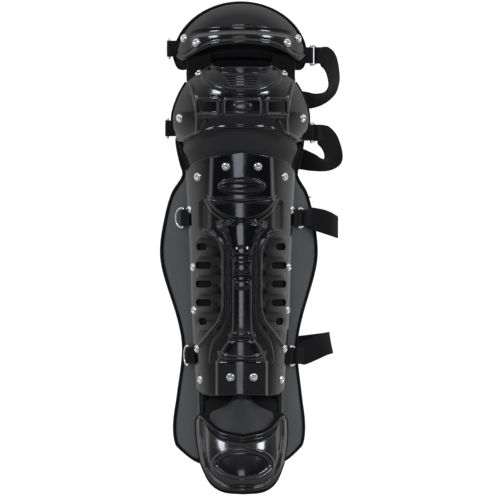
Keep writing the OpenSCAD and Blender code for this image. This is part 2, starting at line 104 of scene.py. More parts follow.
def unit(v):
    v = np.asarray(v, float)
    return v / np.maximum(np.linalg.norm(v, axis=-1, keepdims=True), 1e-9)


def run_along(path):
    """Distance along a path at each of its points."""
    return np.concatenate([[0], np.cumsum(np.linalg.norm(np.diff(path, axis=0), axis=1))])


def at_run(at, run, rows):
    """Rows given at the distances run, read at the distances at."""
    return np.stack([np.interp(at, run, rows[:, k]) for k in range(3)], axis=-1)


def resample(path, step, closed=False):
    """The same path with even steps of about step."""
    p = np.asarray(path, float)
    if closed:
        p = np.vstack([p, p[:1]])
    run = run_along(p)
    n = max(4, int(round(run[-1] / step)))
    at = np.linspace(0, run[-1], n + 1)
    return at_run(at[:-1] if closed else at, run, p)


# ---------- plane shapes, for relief ----------

def inside(d, width):
    """1 inside a shape, 0 outside, with an even slope width wide across its edge."""
    return 1 - ease(d / width + 0.5)


def ridge(d, width):
    """A rounded bead along the line d = 0."""
    return np.sqrt(clamp01(1 - (2 * d / width) ** 2))


def ellipse_d(x, z, cx, cz, a, b):
    k0 = np.hypot((x - cx) / a, (z - cz) / b)
    k1 = np.hypot((x - cx) / a**2, (z - cz) / b**2)
    return k0 * (k0 - 1) / np.maximum(k1, 1e-6)


def box_d(x, z, cx, cz, hx, hz, r):
    dx, dz = np.abs(x - cx) - hx + r, np.abs(z - cz) - hz + r
    return np.hypot(np.maximum(dx, 0), np.maximum(dz, 0)) + np.minimum(np.maximum(dx, dz), 0) - r


def path_d(x, z, points):
    """Distance to a smooth line through points (x, z)."""
    line = spline([(a, b, 0) for a, b in points], 5)[:, :2]
    best = np.full(np.shape(x), 1e9)
    for (ax, az), (bx, bz) in zip(line[:-1], line[1:]):
        ux, uz = bx - ax, bz - az
        t = clamp01(((x - ax) * ux + (z - az) * uz) / (ux * ux + uz * uz))
        best = np.minimum(best, np.hypot(x - ax - t * ux, z - az - t * uz))
    return best


# ---------- the frame's surfaces ----------

SHELL_T = 3.0
PAD_T = 12.0
PAD_FRONT = 3.4
PAD_BACK = PAD_FRONT + PAD_T
EDGE_T = 5.0
SIDE = 72.0
TOE_SIDE = 68.0
SHIN_DEPTH = 62.0
WING_START = 0.7
EAR_BACK = 8.0
KNEE_Z = 72.0
KNEE_R = 88.0

SHIN_HALF = [(-430, 60), (-328, 62), (-290, 64), (-210, 69), (-140, 71), (-17, 77), (0, 79), (22, 87)]
SHIN_FRONT = [(-430, 68), (-328, 68), (-170, 70), (10, 66), (30, 66)]
WING_HALF = [(-424, 56), (-416, 74), (-400, 87), (-372, 91), (-330, 86), (-265, 79), (-224, 85), (-157, 105),
             (-128, 109), (-92, 105), (-48, 94), (-22, 79), (-4, 83), (10, 86), (22, 88), (32, 89)]
KNEE_HALF = [(20, 81), (26, 86), (35, 92), (50, 95), (67, 94), (90, 86), (112, 73), (130, 60), (137, 57)]
PLATE_HALF = [(-24, 66), (-12, 70), (3, 75), (14, 80), (25, 81), (38, 78), (56, 67), (90, 62)]
TOE_HALF = [(-465, 42), (-450, 49), (-425, 55), (-392, 61), (-370, 62), (-357, 61), (-350, 58), (-343, 53),
            (-336, 47), (-329, 42), (-322, 38)]
FLAP_INSET = [(-396, 6), (-360, 8), (-347, 9), (-335, 15), (-322, 14)]
TOE_FRONT = [(-465, 112), (-430, 106), (-392, 92), (-354, 72), (-336, 63), (-320, 60)]

SHIN_TOP_EDGE = [(0, 10.5), (0.55, 1), (0.8, -7), (1, -20)]
SHIN_LOW_EDGE = [(0, -328), (0.7, -328), (1, -319)]
PAD_TOP_EDGE = [(0, 3), (0.5, 6), (0.7, 12), (0.85, 22), (1, 29)]
PAD_LOW_EDGE = [(0, -310), (0.53, -310), (0.57, -350), (0.64, -405), (0.73, -419), (0.88, -418), (1, -398)]
KNEE_TOP_EDGE = [(0, 137), (0.6, 134), (0.85, 123), (1, 110)]
KNEE_LOW_EDGE = [(0, 42), (0.35, 40.5), (0.65, 34), (0.85, 27), (0.95, 24), (1, 25)]
KNEE_PAD_LOW_EDGE = [(0, 14), (0.5, 17), (0.72, 24), (0.88, 38), (1, 44)]
TOE_TOP_EDGE = [(0, -384), (0.4, -376), (0.8, -355), (1, -364)]
TOE_LOW_EDGE = [(0, -462), (0.5, -459), (0.8, -447), (1, -423)]

THIGH_HALF = 88.5
THIGH_PAD_HALF = 91.0
THIGH_WIDEST = 146.0
THIGH_RISE = 71.5
THIGH_LOW_EDGE = [(0, 161), (40, 157), (65, 147), (82, 138), (88.5, 142)]
THIGH_PAD_LOW_EDGE = [(0, 145), (40, 142), (60, 135), (76, 128.5), (86, 130), (91, 142)]


def ellipse_section(half, depth, front, side_deg, inset):
    """Points and outward normals of a section that wraps round the leg."""
    a = half / math.sin(math.radians(SIDE)) - inset
    b = depth - inset
    s, c = np.sin(np.radians(side_deg)), np.cos(np.radians(side_deg))
    return a * s, depth - front - b * c, s * b, -c * a


def shin_at(side_deg, z, inset):
    x, y, nx, ny = ellipse_section(smooth(SHIN_HALF, z), SHIN_DEPTH, smooth(SHIN_FRONT, z), side_deg, inset)
    return np.stack([x, y, z], -1), unit(np.stack([nx, ny, 0 * z], -1))


def toe_at(side_deg, z, inset, narrower=0.0):
    half, front = smooth(TOE_HALF, z) - narrower, smooth(TOE_FRONT, z)
    x, y, nx, ny = ellipse_section(half, 40.0, front, side_deg, inset)
    lean = (smooth(TOE_FRONT, z + 2) - smooth(TOE_FRONT, z - 2)) / 4
    flat = np.hypot(nx, ny)
    return np.stack([x, y, z], -1), unit(np.stack([nx, ny, -lean * flat], -1))


def pad_at(u, z, inset, edge):
    """The shin padding: behind the shell in the middle, a wing on each side."""
    s, w = np.sign(u), np.abs(u)
    middle, _ = shin_at(SIDE * np.clip(u, -WING_START, WING_START) / WING_START, z, inset)
    k = clamp01((w - WING_START) / (1 - WING_START))[..., None]
    front, _ = shin_at(SIDE * s, z, PAD_FRONT)
    half = smooth(WING_HALF, z)
    tip_y = front[..., 1] + half - np.abs(front[..., 0]) + edge * 0.7 + EAR_BACK * ease(z / 18)
    tip = np.stack([s * (half - edge * 0.7), tip_y, z], -1)
    return lerp(middle, tip, k)


def knee_r(x):
    return np.sqrt(117.0**2 - x**2) - 117.0 + KNEE_R


def knee_at(x, z, inset):
    r = knee_r(x)
    lift = np.arcsin(np.clip((z - KNEE_Z) / r, -1, 1))
    c, s = np.cos(lift), np.sin(lift)
    steep = x / np.sqrt(117.0**2 - x**2)
    return (np.stack([x, -(r - inset) * c, KNEE_Z + (r - inset) * s], -1),
            unit(np.stack([steep, -c, s], -1)))


def knee_y(x, z, inset):
    return -np.sqrt(np.maximum(25, (knee_r(x) - inset) ** 2 - (z - KNEE_Z) ** 2))


def thigh_y(x, z):
    return -75 * np.sqrt(np.maximum(0, 1 - (x / 100) ** 2 - ((z - 150) / 85) ** 2))


def thigh_arch(x, half, rise):
    return THIGH_WIDEST + rise * np.maximum(0, 1 - (x / half) ** 2) ** 0.54


def edge_height(low, top, u, v):
    """Height at share v of the way up between two edges, u across from the middle."""
    return lerp(smooth(low, np.abs(u)), smooth(top, np.abs(u)), v)


def sheet_grid(count_u, count_v):
    """Even grid: -1 to 1 across and 0 to 1 up."""
    return np.meshgrid(np.linspace(-1, 1, count_u), np.linspace(0, 1, count_v))


def thigh_pad_in(z):
    return PAD_FRONT + 1.2 + 4.6 * ease((170 - z) / 18)


def plate_at(u, v, inset):
    w = np.abs(u)
    z = lerp(lerp(-24, -18, w), KNEE_Z + 13 * (1 - 0.3 * w * w), v)
    x = u * smooth(PLATE_HALF, z)
    lip = smooth(KNEE_LOW_EDGE, np.minimum(1, np.abs(x) / 93)) - 3
    a = smooth(SHIN_HALF, np.minimum(z, 20)) / math.sin(math.radians(SIDE)) - SHELL_T - inset
    under = (SHIN_DEPTH - smooth(SHIN_FRONT, z) - (SHIN_DEPTH - SHELL_T - inset)
             * np.sqrt(np.maximum(0.01, 1 - (x / a) ** 2)))
    over = knee_y(x, np.maximum(z, lip), 4.5 + inset)
    return np.stack([x, lerp(over, under, ease((lip - z) / (lip - 4))), z], -1)


# ---------- mesh builders ----------

def new_object(name, verts_mm, faces, uvs=None):
    mesh = bpy.data.meshes.new(name)
    mesh.from_pydata((np.asarray(verts_mm, float) * MM).tolist(), [], faces)
    if uvs is not None:
        layer = mesh.uv_layers.new(name="strip")
        loop_verts = np.empty(len(mesh.loops), int)
        mesh.loops.foreach_get("vertex_index", loop_verts)
        layer.data.foreach_set("uv", (np.asarray(uvs, float)[loop_verts] * MM).ravel())
    mesh.polygons.foreach_set("use_smooth", [True] * len(mesh.polygons))
    mesh.update()
    obj = bpy.data.objects.new(name, mesh)
    bpy.context.scene.collection.objects.link(obj)
    return obj


def outward(obj):
    """Faces turned to point out of a closed mesh."""
    bm = bmesh.new()
    bm.from_mesh(obj.data)
    bmesh.ops.recalc_face_normals(bm, faces=bm.faces)
    bm.to_mesh(obj.data)
    bm.free()
    return obj


def edge_steps(count, length, radius):
    """Steps from 0 to 1 along a side of this length, close together near its rounded ends."""
    near = np.array([0, 0.04, 0.13, 0.29, 0.5, 0.75, 1.0]) * radius / length
    return np.concatenate([near, np.linspace(near[-1], 1 - near[-1], count)[1:-1], 1 - near[::-1]])


def edge_distance(grid):
    """Distance from each point of a grid to the grid's border, along its rows and columns."""
    def along(axis):
        step = np.linalg.norm(np.diff(grid, axis=axis), axis=-1)
        pad = [(0, 0), (0, 0)]
        pad[axis] = (1, 0)
        run = np.cumsum(np.pad(step, pad), axis=axis)
        return np.minimum(run, np.take(run, [-1], axis=axis) - run)
    return np.minimum(along(0), along(1))


def sheet_mesh(name, front, back):
    """Closed sheet between two grids with the same border; its rim is rounded."""
    thick = np.linalg.norm(front - back, axis=-1)
    radius = np.maximum(thick / 2, 0.2)
    k = clamp01(edge_distance((front + back) / 2) / radius)
    share = np.sqrt(1 - (1 - k) ** 2)[..., None]
    middle, half = (front + back) / 2, (front - back) / 2 * share
    f, b = middle + half, middle - half
    rows, cols = thick.shape
    fid = np.arange(rows * cols).reshape(rows, cols)
    bid = fid.copy()
    bid[1:-1, 1:-1] = rows * cols + np.arange((rows - 2) * (cols - 2)).reshape(rows - 2, cols - 2)
    verts = np.vstack([f.reshape(-1, 3), b[1:-1, 1:-1].reshape(-1, 3)])

    def quads(ids, flip):
        q = np.stack([ids[:-1, :-1], ids[:-1, 1:], ids[1:, 1:], ids[1:, :-1]], -1).reshape(-1, 4)
        return q[:, ::-1] if flip else q

    faces = np.vstack([quads(fid, False), quads(bid, True)])
    return new_object(name, verts, faces.tolist())


def rings_mesh(name, rings, closed, uvs=None):
    """Skin over a row of rings."""
    rings = np.asarray(rings, float)
    n, m = rings.shape[:2]
    ids = np.arange(n * m).reshape(n, m)
    nxt = np.roll(ids, -1, axis=0) if closed else ids[1:]
    cur = ids if closed else ids[:-1]
    quads = np.stack([cur, np.roll(cur, -1, axis=1), np.roll(nxt, -1, axis=1), nxt], -1)
    faces = quads.reshape(-1, 4).tolist()
    if not closed:
        faces += [ids[0][::-1].tolist(), ids[-1].tolist()]
    obj = new_object(name, rings.reshape(-1, 3), faces, uvs)
    return outward(obj)


def frames_along(path, hint, closed=False):
    """Unit side and lean of a path, both across it; the lean is as close to hint as it can be."""
    p = np.asarray(path, float)
    if closed:
        t = unit(np.roll(p, -1, axis=0) - np.roll(p, 1, axis=0))
    else:
        t = unit(np.gradient(p, axis=0))
    hint = np.broadcast_to(np.asarray(hint, float), p.shape)
    side = unit(np.cross(t, hint))
    return side, np.cross(side, t)


def swept(path, section, hint, closed=False):
    side, lean = frames_along(path, hint, closed)
    p = np.asarray(path, float)
    section = np.asarray(section, float)
    return p[:, None] + side[:, None] * section[None, :, :1] + lean[:, None] * section[None, :, 1:2]


def round_section(d, n, flat=1.0):
    a = np.arange(n) * 2 * math.pi / n
    return np.stack([np.cos(a) * d / 2, np.sin(a) * d / 2 * flat], -1)


def band_section(width, thick):
    """Section of webbing: flat, with round edges."""
    half, r = width / 2, thick / 2
    inner = np.linspace(half - r, -half + r, 7)[1:-1]
    top = [(r * math.sin(t), half - r + r * math.cos(t)) for t in np.radians([0, 45, 90])]
    low = [(r * math.sin(t), -half + r + r * math.cos(t)) for t in np.radians([90, 135, 180])]
    one = top + [(r, z) for z in inner] + low
    other = [(-x, z) for x, z in one[::-1]][1:-1]
    return np.array(one + other)


def tube(name, path, d, hint, closed=False, n=12, flat=1.0):
    return rings_mesh(name, swept(path, round_section(d, n, flat), hint, closed), closed)


def webbing(name, path, width, thick, hint=(0, 0, 1)):
    """A strip of webbing, with run along the strip and height across it as its UVs."""
    width = np.broadcast_to(np.asarray(width, float), len(path))
    section = band_section(float(width.max()), thick)
    rings = swept(path, section, hint)
    middle = np.asarray(path, float)[:, None]
    across = frames_along(path, hint)[1][:, None]
    high = np.sum((rings - middle) * across, -1, keepdims=True)
    rings = rings - across * high * (1 - (width / width.max())[:, None, None])
    run = run_along(path)
    uvs = np.stack([np.repeat(run, len(section)), np.tile(section[:, 1] + section[:, 0], len(run))], -1)
    return rings_mesh(name, rings, False, uvs)


def merged(name, objects):
    """One object from several, with all their UVs."""
    bpy.ops.object.select_all(action="DESELECT")
    for o in objects:
        o.select_set(True)
    bpy.context.view_layer.objects.active = objects[0]
    bpy.ops.object.join()
    objects[0].name = name
    objects[0].data.name = name
    return objects[0]


def lathe(name, profile, place, heading, n=28):
    """Solid of revolution with profile (radius, height); height runs along heading."""
    a = np.arange(n) * 2 * math.pi / n
    h = unit(np.array(heading, float))
    side = unit(np.cross(h, [0.3, 0.1, 1.0]))
    other = np.cross(h, side)
    rings = [np.asarray(place, float) + h * z + r * (np.cos(a)[:, None] * side + np.sin(a)[:, None] * other)
             for r, z in profile]
    return rings_mesh(name, rings, False)


STITCH_SECTION = 6
STITCH_RISE = [(0.0, -0.35), (0.12, 0.6), (0.5, 1.0), (0.88, 0.6), (1.0, -0.35)]


def stitches(name, path, normals, length, pitch, d=0.8, lift=0.1):
    """Thread that shows as short dashes along a path, lying on a surface with these normals."""
    path = np.asarray(path, float)
    run = run_along(path)
    n = STITCH_SECTION
    turns = np.arange(n)[:, None] * 2 * math.pi / n
    verts, faces = [], []
    for start in np.arange(pitch / 2, run[-1] - length, pitch):
        base = len(verts)
        for share, rise in STITCH_RISE:
            at = start + share * length
            middle, up = at_run(at, run, path), unit(at_run(at, run, normals))
            side = unit(np.cross(unit(at_run(at + 0.5, run, path) - middle + 1e-9), up))
            centre = middle + up * (lift + rise * d * 0.3)
            verts += list(centre + (side * np.cos(turns) + up * np.sin(turns)) * d / 2)
        for ring_start in range(base, len(verts) - n, n):
            for a in range(n):
                i, j = ring_start + a, ring_start + (a + 1) % n
                faces.append((i, j, j + n, i + n))
        faces.append([base + a for a in range(n - 1, -1, -1)])
        faces.append([len(verts) - n + a for a in range(n)])
    return outward(new_object(name, verts, faces))


# ---------- materials ----------

class Tree:
    """A node tree, with one call that adds a node and feeds it."""

    def __init__(self, tree):
        self.tree = tree

    def add(self, kind, inputs=None, **props):
        node = self.tree.nodes.new(kind)
        for key, value in props.items():
            setattr(node, key, value)
        for key, value in (inputs or {}).items():
            if isinstance(value, bpy.types.NodeSocket):
                self.tree.links.new(value, node.inputs[key])
            else:
                node.inputs[key].default_value = value
        return node


class Nodes(Tree):
    """A material with a Principled shader and short calls for the nodes that feed it."""

    def __init__(self, name, colour, rough, **sockets):
        self.material = bpy.data.materials.new(name)
        self.material.use_nodes = True
        super().__init__(self.material.node_tree)
        self.shader = self.tree.nodes["Principled BSDF"]
        self.shader.inputs["Base Color"].default_value = (*colour, 1)
        self.shader.inputs["Roughness"].default_value = rough
        for key, value in sockets.items():
            self.shader.inputs[key.replace("_", " ")].default_value = value
        self.bumps = None

    def where(self, scale=(1, 1, 1), uv=False):
        """Object coordinates, or a strip's UVs, scaled."""
        source = self.add("ShaderNodeTexCoord").outputs["UV" if uv else "Object"]
        return self.add("ShaderNodeMapping", {"Vector": source, "Scale": scale}).outputs["Vector"]

    def noise(self, scale, detail=3, vector=None):
        vector = vector or self.where()
        inputs = {"Vector": vector, "Scale": scale, "Detail": detail}
        return self.add("ShaderNodeTexNoise", inputs).outputs["Fac"]

    def ramp(self, value, low, high, at=(0.3, 0.7)):
        node = self.add("ShaderNodeMapRange", {"Value": value, "From Min": at[0], "From Max": at[1],
                                               "To Min": low, "To Max": high})
        return node.outputs["Result"]

    def mix(self, value, a, b):
        node = self.add("ShaderNodeMix", {"Factor": value}, data_type="RGBA")
        node.inputs["A"].default_value = (*a, 1)
        node.inputs["B"].default_value = (*b, 1)
        return node.outputs["Result"]

    def bump(self, height, strength, distance):
        inputs = {"Height": height, "Strength": strength, "Distance": distance}
        if self.bumps:
            inputs["Normal"] = self.bumps
        self.bumps = self.add("ShaderNodeBump", inputs).outputs["Normal"]

    def into(self, socket, value):
        self.tree.links.new(value, self.shader.inputs[socket])

    def mottle(self, scale, detail, dark, light):
        """Base colour that varies between two."""
        self.into("Base Color", self.mix(self.ramp(self.noise(scale, detail), 0, 1), dark, light))

    def worn(self, scale, detail, low, high):
        """Roughness that varies between two values."""
        self.into("Roughness", self.ramp(self.noise(scale, detail), low, high))

    def done(self):
        if self.bumps:
            self.into("Normal", self.bumps)
        return self.material


def shell_plastic():
    """Moulded gloss plastic: faint flow waviness, fine dust and handling marks in the gloss."""
    m = Nodes("shell_gloss", (0.0065, 0.0066, 0.0072), 0.14, Specular_IOR_Level=0.5, Coat_Weight=0.35,
              Coat_Roughness=0.05)
    marks = m.add("ShaderNodeMath", {0: m.noise(22, 3), 1: m.noise(420, 4)}, operation="MULTIPLY")
    m.into("Roughness", m.ramp(marks.outputs[0], 0.1, 0.21, (0.15, 0.4)))
    m.bump(m.noise(60, 2), 0.05, 0.002)
    m.bump(m.noise(900, 2), 0.03, 0.0003)
    return m.done()


def lap_plastic():
    """Matte plastic with a fine spark-eroded grain."""
    m = Nodes("lap_matte", (0.014, 0.0142, 0.015), 0.48, Specular_IOR_Level=0.35)
    m.worn(40, 4, 0.4, 0.55)
    m.mottle(15, 3, (0.021, 0.0212, 0.0212), (0.031, 0.0312, 0.0312))
    m.bump(m.noise(1500, 3), 0.25, 0.0002)
    return m.done()


def vinyl():
    """Dark grey vinyl with a leather-like grain."""
    m = Nodes("wing_vinyl", (0.045, 0.049, 0.051), 0.48, Specular_IOR_Level=0.4)
    cells = m.add("ShaderNodeTexVoronoi", {"Vector": m.where(), "Scale": 620.0}, feature="DISTANCE_TO_EDGE")
    grain = m.ramp(cells.outputs["Distance"], 0, 1, (0.0, 0.18))
    m.mottle(9, 4, (0.064, 0.069, 0.071), (0.086, 0.092, 0.094))
    m.worn(55, 3, 0.42, 0.56)
    m.bump(grain, 0.3, 0.0003)
    m.bump(m.noise(110, 3), 0.12, 0.0012)
    return m.done()


def knit(name, colour, sheen):
    """Knitted cover: fine rows of loops and a soft sheen."""
    m = Nodes(name, colour, 0.9, Sheen_Weight=sheen, Sheen_Roughness=0.5, Specular_IOR_Level=0.15)
    rows = m.add("ShaderNodeTexWave", {"Vector": m.where((1, 0.4, 1)), "Scale": 210.0, "Distortion": 1.5,
                                       "Detail": 2.0, "Detail Scale": 6.0}, bands_direction="Z")
    loops = m.add("ShaderNodeTexWave", {"Vector": m.where((1, 0.4, 1)), "Scale": 240.0, "Distortion": 1.0},
                  bands_direction="X")
    both = m.add("ShaderNodeMath", {0: rows.outputs["Fac"], 1: loops.outputs["Fac"]}, operation="MULTIPLY")
    lighter = tuple(c * 1.7 + 0.004 for c in colour)
    darker = tuple(c * 0.6 for c in colour)
    m.into("Base Color", m.mix(m.ramp(both.outputs[0], 0, 1, (0.0, 0.8)), darker, lighter))
    m.bump(both.outputs[0], 0.55, 0.0006)
    m.bump(m.noise(60, 3), 0.15, 0.001)
    return m.done()


def woven(name, colour, ribs):
    """Woven tape: ribs across it and threads along it."""
    m = Nodes(name, colour, 0.8, Sheen_Weight=0.03, Sheen_Roughness=0.4, Specular_IOR_Level=0.15)
    rib = m.add("ShaderNodeTexWave", {"Vector": m.where(uv=True), "Scale": ribs, "Distortion": 0.3,
                                      "Detail": 1.0, "Detail Scale": 3.0}, bands_direction="X")
    thread = m.add("ShaderNodeTexWave", {"Vector": m.where(uv=True), "Scale": ribs * 1.6, "Distortion": 0.6},
                   bands_direction="Y")
    both = m.add("ShaderNodeMath", {0: rib.outputs["Fac"], 1: thread.outputs["Fac"]}, operation="MULTIPLY")
    darker = tuple(c * 0.55 for c in colour)
    lighter = tuple(c * 1.8 + 0.003 for c in colour)
    m.into("Base Color", m.mix(m.ramp(rib.outputs["Fac"], 0, 1, (0.1, 0.9)), darker, lighter))
    m.bump(rib.outputs["Fac"], 0.6, 0.0005)
    m.bump(both.outputs[0], 0.4, 0.0003)
    return m.done()


def nickel():
    """Bright nickel plate with faint haze and fine scratches."""
    m = Nodes("nickel", (0.72, 0.72, 0.73), 0.18, Metallic=1.0)
    m.worn(300, 4, 0.12, 0.3)
    m.mottle(120, 3, (0.6, 0.6, 0.61), (0.8, 0.8, 0.8))
    m.bump(m.noise(700, 3, m.where((1, 1, 0.1))), 0.08, 0.0002)
    return m.done()


def leather():
    """Black leather strip with pores."""
    m = Nodes("hinge_leather", (0.013, 0.0125, 0.012), 0.55, Specular_IOR_Level=0.4)
    cells = m.add("ShaderNodeTexVoronoi", {"Vector": m.where(), "Scale": 900.0}, feature="F1")
    m.worn(80, 3, 0.45, 0.65)
    m.bump(cells.outputs["Distance"], 0.4, 0.0003)
    return m.done()


def acetal():
    """Satin black moulded plastic for the sliders."""
    m = Nodes("slider_plastic", (0.012, 0.012, 0.013), 0.38)
    m.worn(200, 3, 0.32, 0.46)
    m.bump(m.noise(1100, 2), 0.15, 0.0002)
    return m.done()


def thread():
    m = Nodes("thread", (0.03, 0.03, 0.031), 0.6, Sheen_Weight=0.1)
    twist = m.add("ShaderNodeTexWave", {"Vector": m.where(), "Scale": 900.0}, bands_direction="DIAGONAL")
    m.bump(twist.outputs["Fac"], 0.4, 0.0002)
    return m.done()


GLOSS = shell_plastic()
MATTE = lap_plastic()
VINYL = vinyl()
KNIT = knit("pad_knit", (0.007, 0.007, 0.0072), 0.03)
LINING = knit("pad_lining", (0.030, 0.031, 0.033), 0.12)
TAPE = woven("binding_tape", (0.007, 0.007, 0.0075), 330)
WEB = woven("webbing", (0.008, 0.008, 0.0085), 210)
NICKEL = nickel()
LEATHER = leather()
ACETAL = acetal()
THREAD = thread()


def finish_piece(obj, material, body, slot, *nodes):
    """A piece's material, the body that it rides on and the CAD nodes that it stands for; slot is not used.
    """
    obj.data.materials.clear()
    obj.data.materials.append(material)
    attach(obj, body)
    if nodes:
        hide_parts(*nodes)
    return obj


# ---------- relief of the moulded shells ----------

OUTER_RAIL = [(52, -100), (43, -102), (33, -109), (27, -122), (25.5, -138), (25.5, -170), (25.5, -203),
              (28, -217), (36, -232), (48, -247), (57, -259)]
INNER_RAIL = [(33, -94), (27, -102), (21.5, -114), (19.3, -128), (19, -150), (19, -180), (19, -212),
              (22, -227), (30, -241), (38, -253), (42, -268), (43, -281)]
SPINE_HALF = [(-330, 33), (-284, 33), (-276, 33), (-268, 30), (-258, 24), (-250, 18), (-240, 15.5),
              (-230, 14.5), (-150, 14.5), (-130, 15), (-115, 20), (-103, 27), (-92, 34), (-80, 38)]


def shin_relief(x, z):
    ax = np.abs(x)
    h = np.zeros_like(x)
    # raised blocks at the top and the bottom, with sloping sides
    top = inside(ax - 41 - 2 * clamp01(-z / 60), 8) * ease((z + 66) / 16)
    h += top * (1.2 + 2.2 * (np.minimum(ax, 42) / 42) ** 2)
    low = inside(ax - 34, 6.5) * ease((-279 - z) / 4)
    h += low * (1.5 + 1.6 * (np.minimum(ax, 35) / 35) ** 2)
    # oval dish
    oval = ellipse_d(x, z, 0, -37, 31, 10)
    h += 2.8 * ridge(oval + 2.5, 8) - 1.2 * inside(oval + 7, 4) + 1.2 * inside(oval, 3)
    # smile-shaped ledge: between a shallow and a deep arc
    deep = ellipse_d(x, z, 0, -43, 48, 41)
    shallow = ellipse_d(x, z, 0, -43, 52, 15)
    smile = np.maximum(np.maximum(deep, -shallow), z + 43)
    lean = 1 + 0.7 * clamp01((-50 - z) / 34)
    h += 3.4 * inside(smile + 1, 4) * lean
    lower = np.maximum(ellipse_d(x, z, 0, -43, 53, 47), z + 56)
    h += 1.8 * inside(lower, 3.5)
    # soft cheek hollows beside the ledge, and short bars slanting in below it
    h -= 1.3 * inside(box_d(ax, z, 51, -78, 6, 19, 5), 8)
    h += 1.2 * ridge(path_d(ax, z, [(29, -87), (20, -100)]), 3.5)
    # central body: hourglass, round spine, collar and bell
    half = smooth(SPINE_HALF, z)
    here = inside(z + 88, 10) * ease((z + 281.5) / 2.5)
    across = clamp01(1 - (ax / half) ** 3.4)
    h += here * 6.2 * np.sqrt(across) * (0.75 + 0.25 * ease((20 - half) / 6))
    h += 1.6 * ridge(path_d(ax, z, [(13, -85), (24, -91), (31, -97)]), 3.2)
    # two beads with a groove round each on the spine
    for groove in (-136.5, -165.5):
        h -= 3.6 * inside(ellipse_d(x, z, 0, groove, 13.5, 3.6), 3)
    for bead in (-127, -151, -174):
        h += 1.1 * inside(ellipse_d(x, z, 0, bead, 9, 5.5), 6)
    h += 1.2 * inside(box_d(x, z, 0, -151, 13, 11, 3), 2.5)
    # collar and the bell's lip
    h += 2.0 * ridge(z + 244 + 0.004 * x**2, 8) * inside(ax - 18, 4)
    h -= 1.8 * ridge(z + 251 + 0.004 * x**2, 6) * inside(ax - 17, 3)
    lip = z + 281 - 7 * (ax / 33) ** 2
    h += 2.4 * ridge(lip - 4, 7) * inside(ax - 33, 3)
    # rails, with a channel between them
    outer, inner = path_d(ax, z, OUTER_RAIL), path_d(ax, z, INNER_RAIL)
    h += 3.0 * ridge(outer, 5.2) + 2.2 * ridge(inner, 3.6)
    # vent panel: bars stand proud between the slots
    panel = box_d(ax, z, 46, -173, 15, 70, 9)
    bars = 0.5 + 0.5 * np.cos((z + 108.5) / VENT_PITCH * 2 * math.pi)
    h += inside(panel, 5) * (1.6 * bars - 0.9)
    return h


KNEE_SQUARE = (48, 73, 14, 9.5, 3)


def knee_relief(x, z):
    ax = np.abs(x)
    h = np.zeros_like(x)
    # visor: an oval dome that steps down at its lower edge, with a lens and fine grooves on it
    visor = ellipse_d(x, z, 0, 117, 56, 25)
    h += 2.9 * inside(visor, 3) + 0.9 * ridge(visor + 2.5, 5)
    lens = ellipse_d(x, z, 0, 129, 42, 9)
    h += inside(lens, 3.5) * (1.2 + 2.2 * clamp01((136 - z) / 14))
    h -= 3.2 * inside(ellipse_d(x, z, 0, 121, 33, 2.2), 2.4)
    for line in (113, 109.4, 105.8, 102.2):
        h -= 1.0 * inside(box_d(x, z, 0, line, 24 - (113 - line) * 0.5, 0.8, 0.8), 1.6)
    # lower face: block, grooves and flat squares under the visor
    h += 2.2 * inside(box_d(x, z, 0, 72.5, 25, 11, 3), 4)
    h += 1.6 * inside(ellipse_d(x, z, 0, 73, 12, 4.6), 4)
    h -= 1.7 * inside(box_d(ax, z, 30, 73, 1.2, 11, 1.2), 2.2)
    square = box_d(ax, z, *KNEE_SQUARE)
    h -= 2.0 * inside(square + 1, 4)
    h += 0.8 * ridge(square - 1, 4)
    h += 1.6 * ridge(z - 60.5, 5) * inside(np.abs(ax - 49) - 15, 4)
    # side facet's long edge, and a three-sided facet that tips up and forward
    h += 1.5 * ridge(path_d(ax, z, [(71, 104), (66, 88), (62.5, 70), (61, 56), (62, 38)]), 6)
    facet = np.maximum(np.abs(ax - 48) - 11.5 * (59 - z) / 20, 37.5 - z)
    h += inside(facet, 1.6) * (1.4 + 0.26 * (ax - 48) - 0.2 * (z - 47))
    return h


def knee_edge_bead(low, z):
    """A bead that follows the shell's lower edge."""
    return 1.6 * ridge(z - low - 3.6, 4.4)


def thigh_relief(x, z, low):
    ax = np.abs(x)
    fade = inside(ax - 66, 14)
    crease = z - 178 + 5 * (ax / 66) ** 2
    h = 3.2 * fade * ease((2.5 - crease) / 7)
    h -= 1.6 * fade * ridge(crease - 1, 11)
    h -= 0.9 * ridge(z - 186 + 3 * (ax / 40) ** 2, 2.6) * inside(ax - 14, 5)
    h += 1.5 * ridge(z - low - 3.4, 4.6) - 0.9 * ridge(z - low - 8, 3.6)
    return h


def toe_relief(x, z, top):
    """A raised panel with sloping sides and a round end, an oval dish in it, and a beaded rim."""
    ax = np.abs(x)
    panel = np.where(z > -412, ax - 48, ellipse_d(x, z, 0, -412, 48, 37))
    panel = np.maximum(panel, z - top + 11)
    h = 4.2 * inside(panel, 8)
    dish = ellipse_d(x, z, 0, -424, 38, 20)
    h += 1.6 * ridge(dish, 6) - 2.4 * inside(dish + 2, 7)
    border = np.minimum(top - z, edge_run(ax, z))
    h += 1.8 * ridge(border - 3.4, 4.4) - 1.0 * ridge(border - 7.2, 3.2)
    return h


def edge_run(ax, z):
    """Distance in from the toe shell's side and lower edges, seen from the front."""
    side = smooth(TOE_HALF, z) - ax
    return np.minimum(side, (z - smooth(TOE_LOW_EDGE, ax / smooth(TOE_HALF, z))) * 0.8)


# ---------- shells ----------

def raised_sheet(name, surface, relief_mm, normals, thick):
    front = surface + normals * relief_mm[..., None]
    return sheet_mesh(name, front, front - normals * thick)


VENT_ROWS = [(52, 15), (48.5, 23), (48.5, 23), (48.5, 23), (51, 13)]
VENT_TOP, VENT_PITCH, VENT_R, VENT_TURN = -121.5, 26, 5, 42


